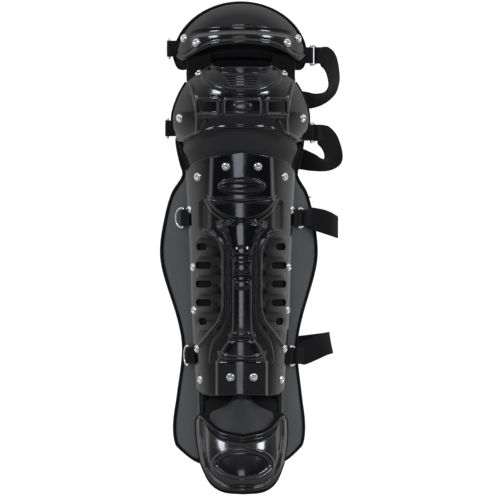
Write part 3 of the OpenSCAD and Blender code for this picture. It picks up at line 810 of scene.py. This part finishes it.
def cut_vents(shell):
    """Ten slots with round ends through the shin shell."""
    cutters = []
    for side in (-1, 1):
        for row, (middle, width) in enumerate(VENT_ROWS):
            half = width * 1.25 / 2
            angle = math.radians(VENT_TURN) * side
            heading = np.array([math.sin(angle), -math.cos(angle), 0])
            along = np.array([math.cos(angle), math.sin(angle), 0])
            centre = np.array([side * middle, -45, VENT_TOP - VENT_PITCH * row])
            a = np.linspace(0, 2 * math.pi, 33)[:-1]
            x = np.cos(a) * VENT_R + np.sign(np.cos(a)) * (half - VENT_R)
            outline = centre + x[:, None] * along + (np.sin(a) * VENT_R)[:, None] * np.array([0, 0, 1.0])
            cutters.append(rings_mesh("vent", [outline + heading * 30, outline - heading * 25], False))
    cutter = merged("vents", cutters)
    cut = shell.modifiers.new("vents", "BOOLEAN")
    cut.operation = "DIFFERENCE"
    cut.object = cutter
    cut.solver = "MANIFOLD"
    bpy.context.view_layer.objects.active = shell
    bpy.ops.object.modifier_apply(modifier=cut.name)
    bpy.data.objects.remove(cutter)


FINE = 1.0


def shin_shell():
    u = edge_steps(int(210 * FINE), 190, SHELL_T / 2) * 2 - 1
    v = edge_steps(int(400 * FINE), 330, SHELL_T / 2)
    uu, vv = np.meshgrid(u, v)
    z = edge_height(SHIN_LOW_EDGE, SHIN_TOP_EDGE, uu, vv)
    points, normals = shin_at(SIDE * uu, z, 0)
    shell = raised_sheet("shin_shell_skin", points, shin_relief(points[..., 0], z), normals, SHELL_T)
    cut_vents(shell)
    finish_piece(shell, GLOSS, "shin", "shell_plastic", "shin_shell")


def knee_shell():
    u = edge_steps(int(230 * FINE), 230, SHELL_T / 2) * 2 - 1
    v = edge_steps(int(130 * FINE), 100, SHELL_T / 2)
    uu, vv = np.meshgrid(u, v)
    low, top = smooth(KNEE_LOW_EDGE, np.abs(uu)), smooth(KNEE_TOP_EDGE, np.abs(uu))
    z = lerp(low, top, vv)
    points, normals = knee_at(uu * smooth(KNEE_HALF, z), z, 0)
    relief = knee_relief(points[..., 0], z) + knee_edge_bead(low, z)
    shell = raised_sheet("knee_shell_skin", points, relief, normals, SHELL_T)
    finish_piece(shell, GLOSS, "knee", "shell_plastic", "knee_shell")


def thigh_grid(half, rise, low_edge, u, v):
    x = half * np.sin(np.radians(90 * u))
    uu, vv = np.meshgrid(x, v)
    low = smooth(low_edge, np.abs(uu))
    return uu, low, lerp(low, thigh_arch(uu, half, rise), vv)


def thigh_normal(x, z):
    y = thigh_y(x, z)
    return unit(np.stack([x / 100**2, y / 75**2, (z - 150) / 85**2], -1))


def thigh_shell():
    u = edge_steps(int(190 * FINE), 200, SHELL_T / 2) * 2 - 1
    v = edge_steps(int(90 * FINE), 55, SHELL_T / 2)
    x, low, z = thigh_grid(THIGH_HALF, THIGH_RISE, THIGH_LOW_EDGE, u, v)
    points = np.stack([x, thigh_y(x, z), z], -1)
    shell = raised_sheet("thigh_shell_skin", points, thigh_relief(x, z, low), thigh_normal(x, z), SHELL_T)
    finish_piece(shell, GLOSS, "thigh", "shell_plastic", "thigh_shell")


def toe_shell():
    u = edge_steps(int(150 * FINE), 130, SHELL_T / 2) * 2 - 1
    v = edge_steps(int(120 * FINE), 90, SHELL_T / 2)
    uu, vv = np.meshgrid(u, v)
    top = smooth(TOE_TOP_EDGE, np.abs(uu))
    z = lerp(smooth(TOE_LOW_EDGE, np.abs(uu)), top, vv)
    points, normals = toe_at(SIDE * uu, z, -SHELL_T)
    shell = raised_sheet("toe_shell_skin", points, toe_relief(points[..., 0], z, top), normals, SHELL_T)
    finish_piece(shell, GLOSS, "instep", "shell_plastic", "toe_shell")


def knee_plate():
    uu, vv = np.meshgrid(edge_steps(80, 165, 1.5) * 2 - 1, edge_steps(60, 110, 1.5))
    plate = sheet_mesh("knee_plate_skin", plate_at(uu, vv, 0), plate_at(uu, vv, SHELL_T))
    finish_piece(plate, MATTE, "shin", "lap_plastic", "knee_plate")


def instep_flap():
    uu, vv = np.meshgrid(edge_steps(60, 90, 1.3) * 2 - 1, edge_steps(50, 75, 1.3))
    z = lerp(-396, -322, vv)
    narrower = smooth(FLAP_INSET, z)
    flap = sheet_mesh("instep_flap_skin", toe_at(TOE_SIDE * uu, z, 0.4, narrower)[0],
                      toe_at(TOE_SIDE * uu, z, 3, narrower)[0])
    finish_piece(flap, MATTE, "instep", "lap_plastic", "instep_flap")


# ---------- padding ----------

PAD_CHANNELS = (-60, -120, -180, -240, -296)
KNEE_PAD_IN = 9
CLOTH_PRESSURE, SWELL_FRAMES = 60, 16


def seam(distance, width=3.5):
    """How firmly a seam holds the cover: 1 on its line and 0 past its width."""
    return 1 - ease(np.abs(distance) / width)


def line_back(obj):
    """The lining: the cover's faces towards the leg."""
    obj.data.materials.append(LINING)
    lining = len(obj.data.materials) - 1
    for face in obj.data.polygons:
        if face.normal.y > 0.25:
            face.material_index = lining


def swell(obj, held, cap, forward):
    """Cloth simulation: the cover swells between its seams. Held is 1 where it is sewn down, cap is the
    furthest that a point may move and forward the furthest towards the front, in millimetres."""
    mesh, scene = obj.data, bpy.context.scene
    before = np.empty(len(mesh.vertices) * 3)
    mesh.vertices.foreach_get("co", before)
    before = before.reshape(-1, 3)
    sewn = obj.vertex_groups.new(name="sewn")
    share = clamp01(held(*(before / MM).T))
    for index in np.nonzero(share > 0.02)[0]:
        sewn.add([int(index)], float(share[index]), "REPLACE")
    cloth = obj.modifiers.new("swell", "CLOTH")
    cloth.settings.use_pressure = True
    cloth.settings.uniform_pressure_force = CLOTH_PRESSURE
    cloth.settings.effector_weights.gravity = 0
    cloth.settings.vertex_group_mass = "sewn"
    for frame_number in range(1, SWELL_FRAMES + 1):
        scene.frame_set(frame_number)
    shape = obj.evaluated_get(bpy.context.evaluated_depsgraph_get()).data
    after = np.empty(len(shape.vertices) * 3)
    shape.vertices.foreach_get("co", after)
    obj.modifiers.remove(cloth)
    obj.vertex_groups.clear()
    scene.frame_set(1)
    move = (after.reshape(-1, 3) - before) / MM
    move[:, 1] = np.maximum(move[:, 1], -forward)
    length = np.linalg.norm(move, axis=1, keepdims=True)
    move *= cap * np.tanh(length / cap) / np.maximum(length, 1e-6) * (1 - share[:, None])
    mesh.vertices.foreach_set("co", (before + move * MM).ravel())
    mesh.update()
    finer = obj.modifiers.new("finer", "SUBSURF")
    finer.levels = finer.render_levels = 1


def shin_pad_held(x, y, z):
    """The binding, the shell over the middle and the channels sewn across the back hold the cover."""
    half = smooth(WING_HALF, z)
    shell = smooth(SHIN_HALF, z)
    ax = np.abs(x)
    w = clamp01(ax / half)
    end = np.minimum(smooth(PAD_TOP_EDGE, w) - z, z - smooth(PAD_LOW_EDGE, w))
    binding_line = np.maximum(seam(half - ax, 5), seam(np.maximum(end, 0), 5))
    back = y > shin_front(x, z) + (PAD_FRONT + PAD_BACK) / 2
    rows = np.max([seam(z - line) for line in PAD_CHANNELS], axis=0)
    quilting = np.maximum(rows, np.maximum(seam(ax - 26), seam(ax - shell))) * back
    front = (~back) * seam(ax - shell + 3, 4)
    return np.maximum.reduce([binding_line, quilting, front, (~back) * (ax < shell - 3)])


def shin_front(x, z):
    """The shell's front surface across the leg, and straight on past its sides."""
    a = smooth(SHIN_HALF, z) / math.sin(math.radians(SIDE))
    s = np.clip(np.abs(x) / a, 0, math.sin(math.radians(SIDE)))
    round_part = SHIN_DEPTH - smooth(SHIN_FRONT, z) - SHIN_DEPTH * np.sqrt(1 - s**2)
    return round_part + np.maximum(0, np.abs(x) - a * s)


def shin_pad():
    uu, vv = sheet_grid(113, 131)
    z = edge_height(PAD_LOW_EDGE, PAD_TOP_EDGE, uu, vv)
    pad = sheet_mesh("shin_pad_cover", pad_at(uu, z, PAD_FRONT, 0), pad_at(uu, z, PAD_BACK, EDGE_T))
    finish_piece(pad, VINYL, "shin", "wing_vinyl", "shin_pad")
    pad.data.materials.append(KNIT)
    swell(pad, shin_pad_held, 4.0, 1.2)
    centres = np.empty(len(pad.data.polygons) * 3)
    pad.data.polygons.foreach_get("center", centres)
    x, _, z = centres.reshape(-1, 3).T / MM
    under = np.abs(x) < smooth(SHIN_HALF, z) - 4
    pad.data.polygons.foreach_set("material_index", (under | (z > -14)).astype(int))
    line_back(pad)


def knee_pad_held(x, _, z):
    ax = np.abs(x)
    w = ax / 93
    ends = np.maximum(seam(z - smooth(KNEE_PAD_LOW_EDGE, w), 5), seam(z - smooth(KNEE_TOP_EDGE, w) + 3, 5))
    channels = np.maximum.reduce([seam(ax - 28), seam(z - 52), seam(z - 94)])
    edge = seam(smooth(KNEE_HALF, np.maximum(z, 26)) - 2 - ax, 5)
    return np.maximum.reduce([ends, channels, edge])


def knee_pad():
    uu, vv = sheet_grid(81, 61)
    w = np.abs(uu)
    z = lerp(smooth(KNEE_PAD_LOW_EDGE, w), smooth(KNEE_TOP_EDGE, w) - 3, vv)
    x = uu * (smooth(KNEE_HALF, np.maximum(z, 26)) - 2)
    y = knee_y(x, z, KNEE_PAD_IN)
    front = np.stack([x, y, z], -1)
    back = np.stack([x, y + 10 / lerp(1, 1.6, w), z], -1)
    pad = sheet_mesh("knee_pad_cover", front, back)
    finish_piece(pad, KNIT, "knee", "pad_fabric", "knee_pad")
    swell(pad, knee_pad_held, 3.0, 0.0)
    line_back(pad)


def thigh_pad_points(u, v, inset):
    x, _, z = thigh_grid(THIGH_PAD_HALF, THIGH_RISE + 0.5, THIGH_PAD_LOW_EDGE, u, v)
    return np.stack([x, thigh_y(x, z) + thigh_pad_in(z) + inset, z], -1)


def thigh_pad_held(x, _, z):
    ax = np.abs(x)
    top = thigh_arch(x, THIGH_PAD_HALF, THIGH_RISE + 0.5)
    border = np.maximum(seam(top - z, 5), seam(z - smooth(THIGH_PAD_LOW_EDGE, ax), 5))
    return np.maximum.reduce([border, seam(ax - 30), seam(z - 182), seam(THIGH_PAD_HALF - ax, 5)])


def thigh_pad():
    u, v = np.linspace(-1, 1, 81), np.linspace(0, 1, 41)
    pad = sheet_mesh("thigh_pad_cover", thigh_pad_points(u, v, 0), thigh_pad_points(u, v, PAD_T))
    finish_piece(pad, KNIT, "thigh", "pad_fabric", "thigh_pad")
    swell(pad, thigh_pad_held, 3.0, 0.0)
    line_back(pad)


def tongue():
    half = 43
    uu, vv = sheet_grid(41, 61)
    x = uu * half
    r = knee_r(x)
    lip = np.degrees(np.arcsin((smooth(KNEE_TOP_EDGE, np.abs(x) / 60) - KNEE_Z) / r)) + 2.5
    lift = np.radians(lerp(16, lip, np.minimum(1, vv / 0.7)))
    k = ease((vv - 0.7) / 0.3)[..., None]

    def side(inset):
        under = r - 4.5 - inset
        low = np.stack([x, -under * np.cos(lift), KNEE_Z + under * np.sin(lift)], -1)
        high = np.stack([x, thigh_y(x, 154.0) + thigh_pad_in(154.0) + 6 + inset, 154 + 0 * x], -1)
        return lerp(low, high, k)

    piece = sheet_mesh("thigh_tongue_cover", side(0), side(3.5))
    finish_piece(piece, KNIT, "thigh", "pad_fabric", "thigh_tongue")


def toe_pad_held(x, _, z):
    ax = np.abs(x)
    half = smooth(TOE_HALF, z) - 3
    low = smooth(TOE_LOW_EDGE, clamp01(ax / half)) + 5
    ends = np.maximum(seam(z + 322.5 + 4 * ax / half, 4), seam(z - low, 4))
    return np.maximum.reduce([ends, seam(half - ax, 4), seam(z + 380), seam(z + 350)])


def toe_pad():
    uu, vv = sheet_grid(61, 61)
    w = np.abs(uu)
    z = lerp(smooth(TOE_LOW_EDGE, w) + 5, -322.5 - 4 * w, vv)
    narrower = 3 - 9 * ease((z + 352) / 14)
    pad = sheet_mesh("toe_pad_cover", toe_at(TOE_SIDE * uu, z, 3.2, narrower)[0],
                     toe_at(TOE_SIDE * uu, z, 11, narrower)[0])
    finish_piece(pad, KNIT, "instep", "pad_fabric", "toe_pad")
    swell(pad, toe_pad_held, 2.5, 0.0)
    line_back(pad)


# ---------- bindings ----------

def tape(name, path, closed=False, d=6.0):
    """A rolled edge of tape along a path."""
    return tube(name, resample(path, 2.0, closed), d, (0, 1, 0), closed, 14, 1.15)


def binding(name, path, body, node, closed=False, d=6.0):
    finish_piece(tape(name, path, closed, d), TAPE, body, "binding_tape", node)


def shin_binding():
    middle, edge = (PAD_FRONT + PAD_BACK) / 2, EDGE_T / 2

    def at(u, v):
        u, v = np.asarray(u, float), np.asarray(v, float)
        z = edge_height(PAD_LOW_EDGE, PAD_TOP_EDGE, u, v)
        return pad_at(u, z, middle, edge)

    k = np.linspace(0, 1, 60)
    rest, zero = k[1:], 0 * k[1:]
    path = np.vstack([at(-lerp(0.53, 1, k), 0 * k), at(zero - 1, rest), at(lerp(-1, 1, rest), zero + 1),
                      at(zero + 1, 1 - rest), at(lerp(1, 0.53, rest), zero)])
    binding("shin_binding_tape", path, "shin", "shin_binding", d=7.6)


def knee_binding():
    tapes = []
    for side in (-1, 1):
        v = np.linspace(0, 1, 40)
        z = lerp(smooth(KNEE_PAD_LOW_EDGE, 1), smooth(KNEE_TOP_EDGE, 1) - 3, v)
        x = side * (smooth(KNEE_HALF, np.maximum(z, 26)) - 2)
        path = np.stack([x + side * 1.5, knee_y(x, z, KNEE_PAD_IN) + 3 / 1.6, z], -1)
        tapes.append(tape("tape", path))
    finish_piece(merged("knee_binding_tape", tapes), TAPE, "knee", "binding_tape", "knee_binding")


def thigh_binding():
    u = np.linspace(-1, 1, 81)
    low = thigh_pad_points(u, np.array([0.0]), PAD_T * 0.4)[0]
    top = thigh_pad_points(u, np.array([1.0]), PAD_T * 0.4)[0]
    binding("thigh_binding_tape", np.vstack([low, top[::-1][1:-1]]), "thigh", "thigh_binding", closed=True)


def toe_binding():
    k = np.linspace(-1, 1, 60)
    one = np.ones(20)
    v = np.linspace(0, 1, 20)

    def at(u, v):
        return toe_at(SIDE * u, edge_height(TOE_LOW_EDGE, TOE_TOP_EDGE, u, v), -1)[0]

    path = np.vstack([at(k, 0 * k + 1), at(one, 1 - v)[1:], at(-k, 0 * k)[1:], at(-one, v)[1:-1]])
    binding("toe_binding_tape", path, "instep", "toe_binding", closed=True, d=5.0)


# ---------- stitching ----------

def wing_stitches():
    """A row of stitches inside the binding on each wing."""
    v = np.linspace(0.03, 0.97, 120)
    rows = []
    for side in (-1, 1):
        u = side * np.full_like(v, 0.972)
        z = edge_height(PAD_LOW_EDGE, PAD_TOP_EDGE, u, v)
        line = pad_at(u, z, PAD_FRONT, 0)
        across = pad_at(u * 0.97, z, PAD_FRONT, 0) - line
        ahead = np.gradient(line, axis=0)
        normals = unit(np.cross(ahead, across) * side)
        normals *= -np.sign(normals[:, 1:2])
        rows.append(stitches("row", line, normals, 2.6, 4.2))
    finish_piece(merged("wing_stitch_rows", rows), THREAD, "shin", "binding_tape")


def strap_stitches(level):
    """Two sewn rows on the fold that holds the strap to its ring."""
    bow, along, out = right_bow(level)
    rows = []
    for e in (4.5, 8.5):
        line = np.array([bow + e * along + out * (3.0 - 0.12 * e) + np.array([0, 0, z])
                         for z in np.linspace(-9, 9, 12)])
        rows.append(stitches("row", line, np.tile(out, (12, 1)), 2.2, 3.2))
    finish_piece(merged(f"{level}_strap_stitches", rows), THREAD, f"{level}_strap", "binding_tape")


# ---------- rivets ----------

RIVET_PROFILE = [(0.05, -1.0), (5.7, -1.0), (6.0, -0.5), (6.0, 0.1), (5.6, 0.9), (4.6, 1.7), (3.4, 2.15),
                 (2.7, 2.2), (2.3, 1.95), (2.0, 1.2), (1.2, 0.95), (0.05, 0.9)]
WASHER_PROFILE = [(0.05, -1.3), (1.6, -1.3), (2.2, -0.9), (4.2, -0.8), (5.0, -0.4), (5.0, 0.0), (0.05, 0.0)]
SHIN_RIVETS = [(22, -10), (15.6, -303), (61, -24), (72, -70), (67, -150), (65.5, -210), (61.5, -264),
               (57, -307)]
THIGH_RIVETS = [(80, 169), (62, 162)]


def rivet(place, heading, grip):
    heading = unit(np.array(heading, float))
    place = np.asarray(place, float)
    return [lathe("rivet", RIVET_PROFILE, place, heading),
            lathe("washer", WASHER_PROFILE, place - heading * grip, heading)]


def surface_rivet(point, normal, relief_mm, grip):
    return rivet(point + normal * relief_mm, normal, grip + relief_mm)


def shin_rivets():
    parts = []
    for side in (-1, 1):
        for ax, z in SHIN_RIVETS:
            x, z = np.array(float(side * ax)), np.array(float(z))
            a = smooth(SHIN_HALF, z) / math.sin(math.radians(SIDE))
            point, normal = shin_at(np.degrees(np.arcsin(x / a)), z, 0)
            parts += surface_rivet(point, normal, float(shin_relief(x, z)), PAD_BACK)
    finish_piece(merged("shin_rivet_set", parts), NICKEL, "shin", "nickel", "shin_rivets")


def knee_rivets():
    parts = []
    for side in (-1, 1):
        point, normal = knee_at(np.array(side * 86.0), np.array(57.5), 0)
        parts += surface_rivet(point, normal, 0.3, 9)
        parts += rivet([side * 59, -53.5, 121], [side * 0.35, -0.62, 0.7], 7)
    finish_piece(merged("knee_rivet_set", parts), NICKEL, "knee", "nickel", "knee_rivets")


def thigh_rivets():
    parts = []
    for side in (-1, 1):
        for ax, z in THIGH_RIVETS:
            x, z = np.array(float(side * ax)), np.array(float(z))
            point = np.array([x, thigh_y(x, z), z])
            low = smooth(THIGH_LOW_EDGE, abs(float(x)))
            parts += surface_rivet(point, thigh_normal(x, z), float(thigh_relief(x, z, low)), 13)
    finish_piece(merged("thigh_rivet_set", parts), NICKEL, "thigh", "nickel", "thigh_rivets")


# ---------- straps ----------

UP, DOWN = (0, 0, 1), (0, 0, -1)
LEVELS = {
    "thigh": dict(body="thigh", left=(-99, -24, 155), left_ring=100, left_tab=(-22, 19), right=(98, -27, 146),
                  right_ring=28, right_tab=(-158, 18),
                  route=[((108, -22, 146), UP), ((116, -17, 145), (0.15, 0.1, 1)), ((125, -9, 139),
                                                                                    (0.5, 0.4, 0.8)),
                         ((131, 1, 125), (0.6, 0.8, 0.3)), ((133, 13, 108), (0.45, 0.9, 0)),
                         ((127, 25, 95), (0.2, 0.95, -0.3)), ((113, 38, 87), (0, 0.9, -0.5)),
                         ((92, 51, 85), (0, 0.6, -0.8)), ((70, 59, 87), (0, 0.2, -1)), ((48, 60, 88), DOWN),
                         ((20, 60, 88), DOWN), ((-20, 60, 88), DOWN), ((-46, 60, 88), DOWN)]),
    "knee": dict(body="knee", left=(-101, -16, 44), left_ring=100, left_tab=(-25, 17), right=(99, -17, 38),
                 right_ring=45, right_tab=(-153, 18),
                 route=[((107, -9, 38), UP), ((115, -4, 36), (0.25, 0, 1)), ((126, 5, 26), (0.65, 0.3, 0.6)),
                        ((132, 15, 11), (0.8, 0.6, 0.1)), ((131, 26, -1), (0.75, 0.6, -0.3)),
                        ((121, 37, -5), (0.3, 0.8, -0.6)), ((105, 47, -2), (0, 0.6, -0.8)),
                        ((86, 56, 3), (0, 0.2, -1)), ((66, 60, 5), DOWN), ((44, 60, 5), DOWN),
                        ((20, 60, 5), DOWN),
                        ((-20, 60, 5), DOWN), ((-46, 60, 5), DOWN)]),
    "calf": dict(body="shin", left=(-80, -23, -81), left_ring=139, left_tab=(-43, 13), right=(82, -19, -81),
                 right_ring=45, right_tab=(-133, 13),
                 route=[((90, -11, -81), UP), ((100, -3, -82), UP), ((115, 2, -86), UP), ((130, 9, -91), UP),
                        ((139, 24, -94), UP), ((134, 41, -91), UP), ((118, 52, -84), UP), ((92, 56, -80), UP),
                        ((62, 56, -79), UP), ((18, 56, -79), UP), ((-8, 57, -78), UP), ((-18, 64, -76), UP),
                        ((-10, 71, -73), UP), ((10, 72, -71), UP), ((42, 72, -64), UP), ((75, 72, -57), UP)]),
    "ankle": dict(body="shin", left=(-73, -24, -273), left_ring=112, left_tab=(-43, 13),
                  right=(70, -23, -274),
                  right_ring=45, right_tab=(-144, 12),
                  route=[((78, -15, -274), UP), ((87, -7, -272), (-0.15, 0, 1)), ((102, 0, -266),
                                                                                  (-0.25, 0, 1)),
                         ((118, 9, -259), (-0.3, 0, 1)), ((129, 24, -256), (-0.2, 0.1, 1)),
                         ((124, 42, -257), (0, 0.2, 1)), ((106, 54, -260), (0.1, 0, 1)), ((80, 60, -263), UP),
                         ((58, 60, -264), UP), ((40, 60, -264), UP), ((0, 60, -264), UP), ((-45, 60, -264),
                                                                                           UP)]),
}
WEB_W, WEB_T, WIRE, RING_H, RING_DEPTH, TAB_H = 31.0, 2.0, 3.0, 27.0, 12.5, 22.5


def ring(name, place, heading, body, node):
    h = RING_H / 2
    a = np.radians(np.arange(-90, 91, 6))
    bow = [(RING_DEPTH * max(0.0, math.cos(t)) ** 0.7, h * math.sin(t)) for t in a]
    bar = [(0, z) for z in np.linspace(h - 1.5, 1.5 - h, 9)]
    c, s = math.cos(math.radians(heading)), math.sin(math.radians(heading))
    path = resample([(place[0] + e * c, place[1] + e * s, place[2] + z) for e, z in bow + bar], 1.2, True)
    finish_piece(tube(name, path, WIRE, (-s, c, 0), True, 14), NICKEL, body, "nickel", node)


def tab(name, place, heading, length, body, node):
    """Webbing folded round a ring's bar, both ends running under the shell."""
    c, s = math.cos(math.radians(heading)), math.sin(math.radians(heading))
    loop = [(length, 1.6), (length * 0.55, 1.7), (4.5, 2.6), (1.5, 3.1), (-1.6, 2.7), (-3.1, 0.2),
            (-1.8, -2.6),
            (1.5, -3.1), (4.5, -2.6), (length * 0.55, -1.7), (length, -1.6)]
    path = spline([(place[0] + e * c - n * s, place[1] + e * s + n * c, place[2]) for e, n in loop], 4)
    finish_piece(webbing(name, path, TAB_H, 1.5), WEB, body, "webbing", node)


def right_bow(level):
    """The bow of a level's right ring, the ring's heading and the way out from the leg."""
    heading = math.radians(LEVELS[level]["right_ring"])
    along = np.array([math.cos(heading), math.sin(heading), 0])
    out = np.array([math.sin(heading), -math.cos(heading), 0])
    return np.array(LEVELS[level]["right"]) + along * RING_DEPTH, along, out


def strap(name, level, body, node):
    """Webbing that wraps the ring's bow and runs round to its hook, with a stitched fold at the ring."""
    route = LEVELS[level]["route"]
    path = spline([p for p, _ in route], 8)
    lean = spline([h for _, h in route], 8)
    run = run_along(path)
    at = np.linspace(0, run[-1], int(run[-1] / 1.6))
    path, lean = at_run(at, run, path), at_run(at, run, lean)
    width = WEB_W - 9 * ease((14 - at) / 12)
    parts = [webbing(name, path, width, WEB_T, lean)]
    bow, along, out = right_bow(level)
    turn = [(12, 2.1), (6, 2.7), (1, 3.3), (-3.2, 3.0), (-5.6, 0), (-3.2, -3.0), (1, -3.2), (5, -2.4),
            (9, -1.7)]
    fold = spline([bow + along * e + out * n for e, n in turn], 5)
    parts.append(webbing("fold", fold, 23.0, 1.4))
    finish_piece(merged(name, parts), WEB, body, "webbing", node)


def hook(name, route, body, node):
    end, before = np.array(route[-1][0], float), np.array(route[-2][0], float)
    t = unit(end - before)
    side = unit(np.cross([0, 0, 1.0], t))
    up = np.cross(t, side)
    h = WEB_W / 2 - 3

    def put(points):
        return np.array([end + t * e + side * n + up * z for e, n, z in points])

    loop = put([(0, 0, h), (-2, 0, h * 0.5), (-2, 0, -h * 0.5), (0, 0, -h), (6, 0, -h), (10, 0, -h * 0.6),
                (11, 0, 0), (10, 0, h * 0.6), (6, 0, h)])
    claw = put([(10, 0, 0), (14, 0, 0), (18, 0, 0), (25, -1, 0), (29.5, -5, 0), (27.5, -9, 0), (22, -10, 0)])
    closed = np.vstack([loop, loop[:1]])
    parts = [tube("loop", resample(spline(closed, 5)[:-1], 1.2, True), WIRE, side, True, 12),
             tube("claw", resample(spline(claw, 5), 1.2), WIRE, up, False, 12)]
    finish_piece(merged(name, parts), NICKEL, body, "nickel", node)


def straps():
    for level, d in LEVELS.items():
        ring(f"{level}_ring_left", d["left"], d["left_ring"], f"{level}_ring", f"ring_{level}_left")
        ring(f"{level}_ring_right", d["right"], d["right_ring"], f"{level}_strap", f"ring_{level}_right")
        tab(f"{level}_tab_left", d["left"], *d["left_tab"], d["body"], f"tab_{level}_left")
        tab(f"{level}_tab_right", d["right"], *d["right_tab"], d["body"], f"tab_{level}_right")
        strap(f"{level}_strap_web", level, f"{level}_strap", f"strap_{level}")
        strap_stitches(level)
        hook(f"{level}_strap_hook", d["route"], f"{level}_strap", f"hook_{level}")
        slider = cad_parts[f"slider_{level}"]
        slider.data.materials.clear()
        slider.data.materials.append(ACETAL)
        rounding = slider.modifiers.new("rounding", "BEVEL")
        rounding.width = 0.0008
        rounding.segments = 3


def link(side, name, node):
    """Webbing from the knee's top corner to the thigh: a fixed mesh, curved where the two bodies meet."""
    zz, xx = np.meshgrid(np.linspace(108, 147, 40), np.linspace(42, 76, 29), indexing="ij")
    x = side * xx if side > 0 else (-xx)[:, ::-1]
    under_knee = knee_y(x, np.minimum(zz, 119), SHELL_T + 1)
    y = lerp(under_knee, thigh_y(x, zz) + SHELL_T * 1.4 + 0.8, ease((zz - 112) / 18))
    front = np.stack([x, y, zz], -1)
    piece = sheet_mesh(name, front, front + np.array([0, 2.4, 0]))
    piece.data.materials.append(WEB)
    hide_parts(node)
    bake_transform(piece)


def instep_hinge():
    uu, zz = np.meshgrid(np.linspace(-1, 1, 30), np.linspace(-324, -297, 20))
    strip = sheet_mesh("instep_hinge_strip", shin_at(26 * uu, zz, 3.2)[0], shin_at(26 * uu, zz, 5.4)[0])
    finish_piece(strip, LEATHER, "shin", "hinge_leather", "instep_hinge")


# ---------- build ----------

for build in (
    shin_shell, knee_shell, thigh_shell, toe_shell, knee_plate, instep_flap, shin_pad, knee_pad,
    thigh_pad, tongue, toe_pad, shin_binding, knee_binding, thigh_binding, toe_binding, wing_stitches,
    shin_rivets, knee_rivets, thigh_rivets, straps):
    build()
link(-1, "link_strap_left", "link_left")
link(1, "link_strap_right", "link_right")
instep_hinge()


# ---------- stage, light and camera ----------

FLOOR_Z = -0.4655
SOFT_BLUE = (0.86, 0.88, 1.0)
LIGHTS = {
    "left_key": dict(azimuth=-36, elevation=34, far=2.6, size=(0.45, 0.45), power=13),
    "right_key": dict(azimuth=36, elevation=34, far=2.6, size=(0.45, 0.45), power=13),
    "front_strip": dict(azimuth=-1, elevation=2, far=3.4, size=(0.62, 2.4), power=16),
}


def area_light(name, target, azimuth, elevation, far, size, power):
    a, e = math.radians(azimuth), math.radians(elevation)
    way = Vector((math.sin(a) * math.cos(e), -math.cos(a) * math.cos(e), math.sin(e)))
    data = bpy.data.lights.new(name, "AREA")
    data.shape = "RECTANGLE"
    data.size, data.size_y = size
    data.energy = power
    data.color = SOFT_BLUE
    lamp = bpy.data.objects.new(name, data)
    bpy.context.scene.collection.objects.link(lamp)
    lamp.location = target + way * far
    lamp.rotation_euler = (-way).to_track_quat("-Z", "Y").to_euler()


def pale_floor():
    """White to the camera; to the object it is dark in front and brighter behind, as the sky is."""
    mesh = bpy.data.meshes.new("floor")
    turns = np.linspace(0, 2 * math.pi, 65)[:-1]
    mesh.from_pydata([(6 * math.cos(a), 6 * math.sin(a), FLOOR_Z) for a in turns], [], [list(range(64))])
    floor = bpy.data.objects.new("floor", mesh)
    bpy.context.scene.collection.objects.link(floor)
    white = Nodes("floor_white", (0.12, 0.12, 0.12), 0.9, Emission_Color=(1, 1, 1, 1))
    seen = white.add("ShaderNodeLightPath").outputs["Is Camera Ray"]
    place = white.add("ShaderNodeTexCoord").outputs["Object"]
    depth = white.add("ShaderNodeSeparateXYZ", {"Vector": place}).outputs["Y"]
    behind = white.ramp(depth, 0.08, 0.75, (-0.6, 0.5))
    white.into("Emission Strength", white.ramp(seen, behind, 1.0, (0, 1)))
    mesh.materials.append(white.done())


def sky():
    """Dark in front of the object and bright behind and above it; plain white to the camera."""
    world = bpy.data.worlds.new("studio")
    bpy.context.scene.world = world
    world.use_nodes = True
    world.node_tree.nodes.clear()
    nodes = Tree(world.node_tree)
    way = nodes.add("ShaderNodeTexCoord").outputs["Generated"]
    axes = nodes.add("ShaderNodeSeparateXYZ", {"Vector": way})

    def glow(axis, start, end, low, high):
        inputs = {"Value": axes.outputs[axis], "From Min": start, "From Max": end, "To Min": low,
                  "To Max": high}
        return nodes.add("ShaderNodeMapRange", inputs, interpolation_type="SMOOTHSTEP").outputs["Result"]

    behind, above = glow("Y", -0.82, 0.1, 0.015, 1.0), glow("Z", 0.25, 1.0, 0.0, 0.5)
    bright = nodes.add("ShaderNodeMath", {0: behind, 1: above}, operation="MAXIMUM").outputs[0]
    lit = nodes.add("ShaderNodeBackground", {"Color": bright, "Strength": 1.0}).outputs[0]
    seen = nodes.add("ShaderNodeBackground", {"Color": (1, 1, 1, 1), "Strength": 1.1}).outputs[0]
    direct = nodes.add("ShaderNodeLightPath").outputs["Is Camera Ray"]
    mixed = nodes.add("ShaderNodeMixShader", {0: direct, 1: lit, 2: seen}).outputs[0]
    nodes.add("ShaderNodeOutputWorld", {"Surface": mixed})


def camera():
    """Far off and almost straight in front, a little to the left."""
    aim, view_width = Vector((0.0147, 0, -0.126)), 0.7
    yaw, distance = math.radians(-3), 10.0
    data = bpy.data.cameras.new("camera")
    data.sensor_width = 36
    data.lens = data.sensor_width * distance / view_width
    cam = bpy.data.objects.new("camera", data)
    bpy.context.scene.collection.objects.link(cam)
    back = Vector((math.sin(yaw), -math.cos(yaw), 0))
    cam.location = aim + back * distance
    cam.rotation_euler = (-back).to_track_quat("-Z", "Y").to_euler()
    bpy.context.scene.camera = cam


pale_floor()
sky()
for light_name, light in LIGHTS.items():
    area_light(light_name, Vector((0, 0, -0.1)), **light)
camera()
bpy.context.scene.view_settings.view_transform = "Standard"
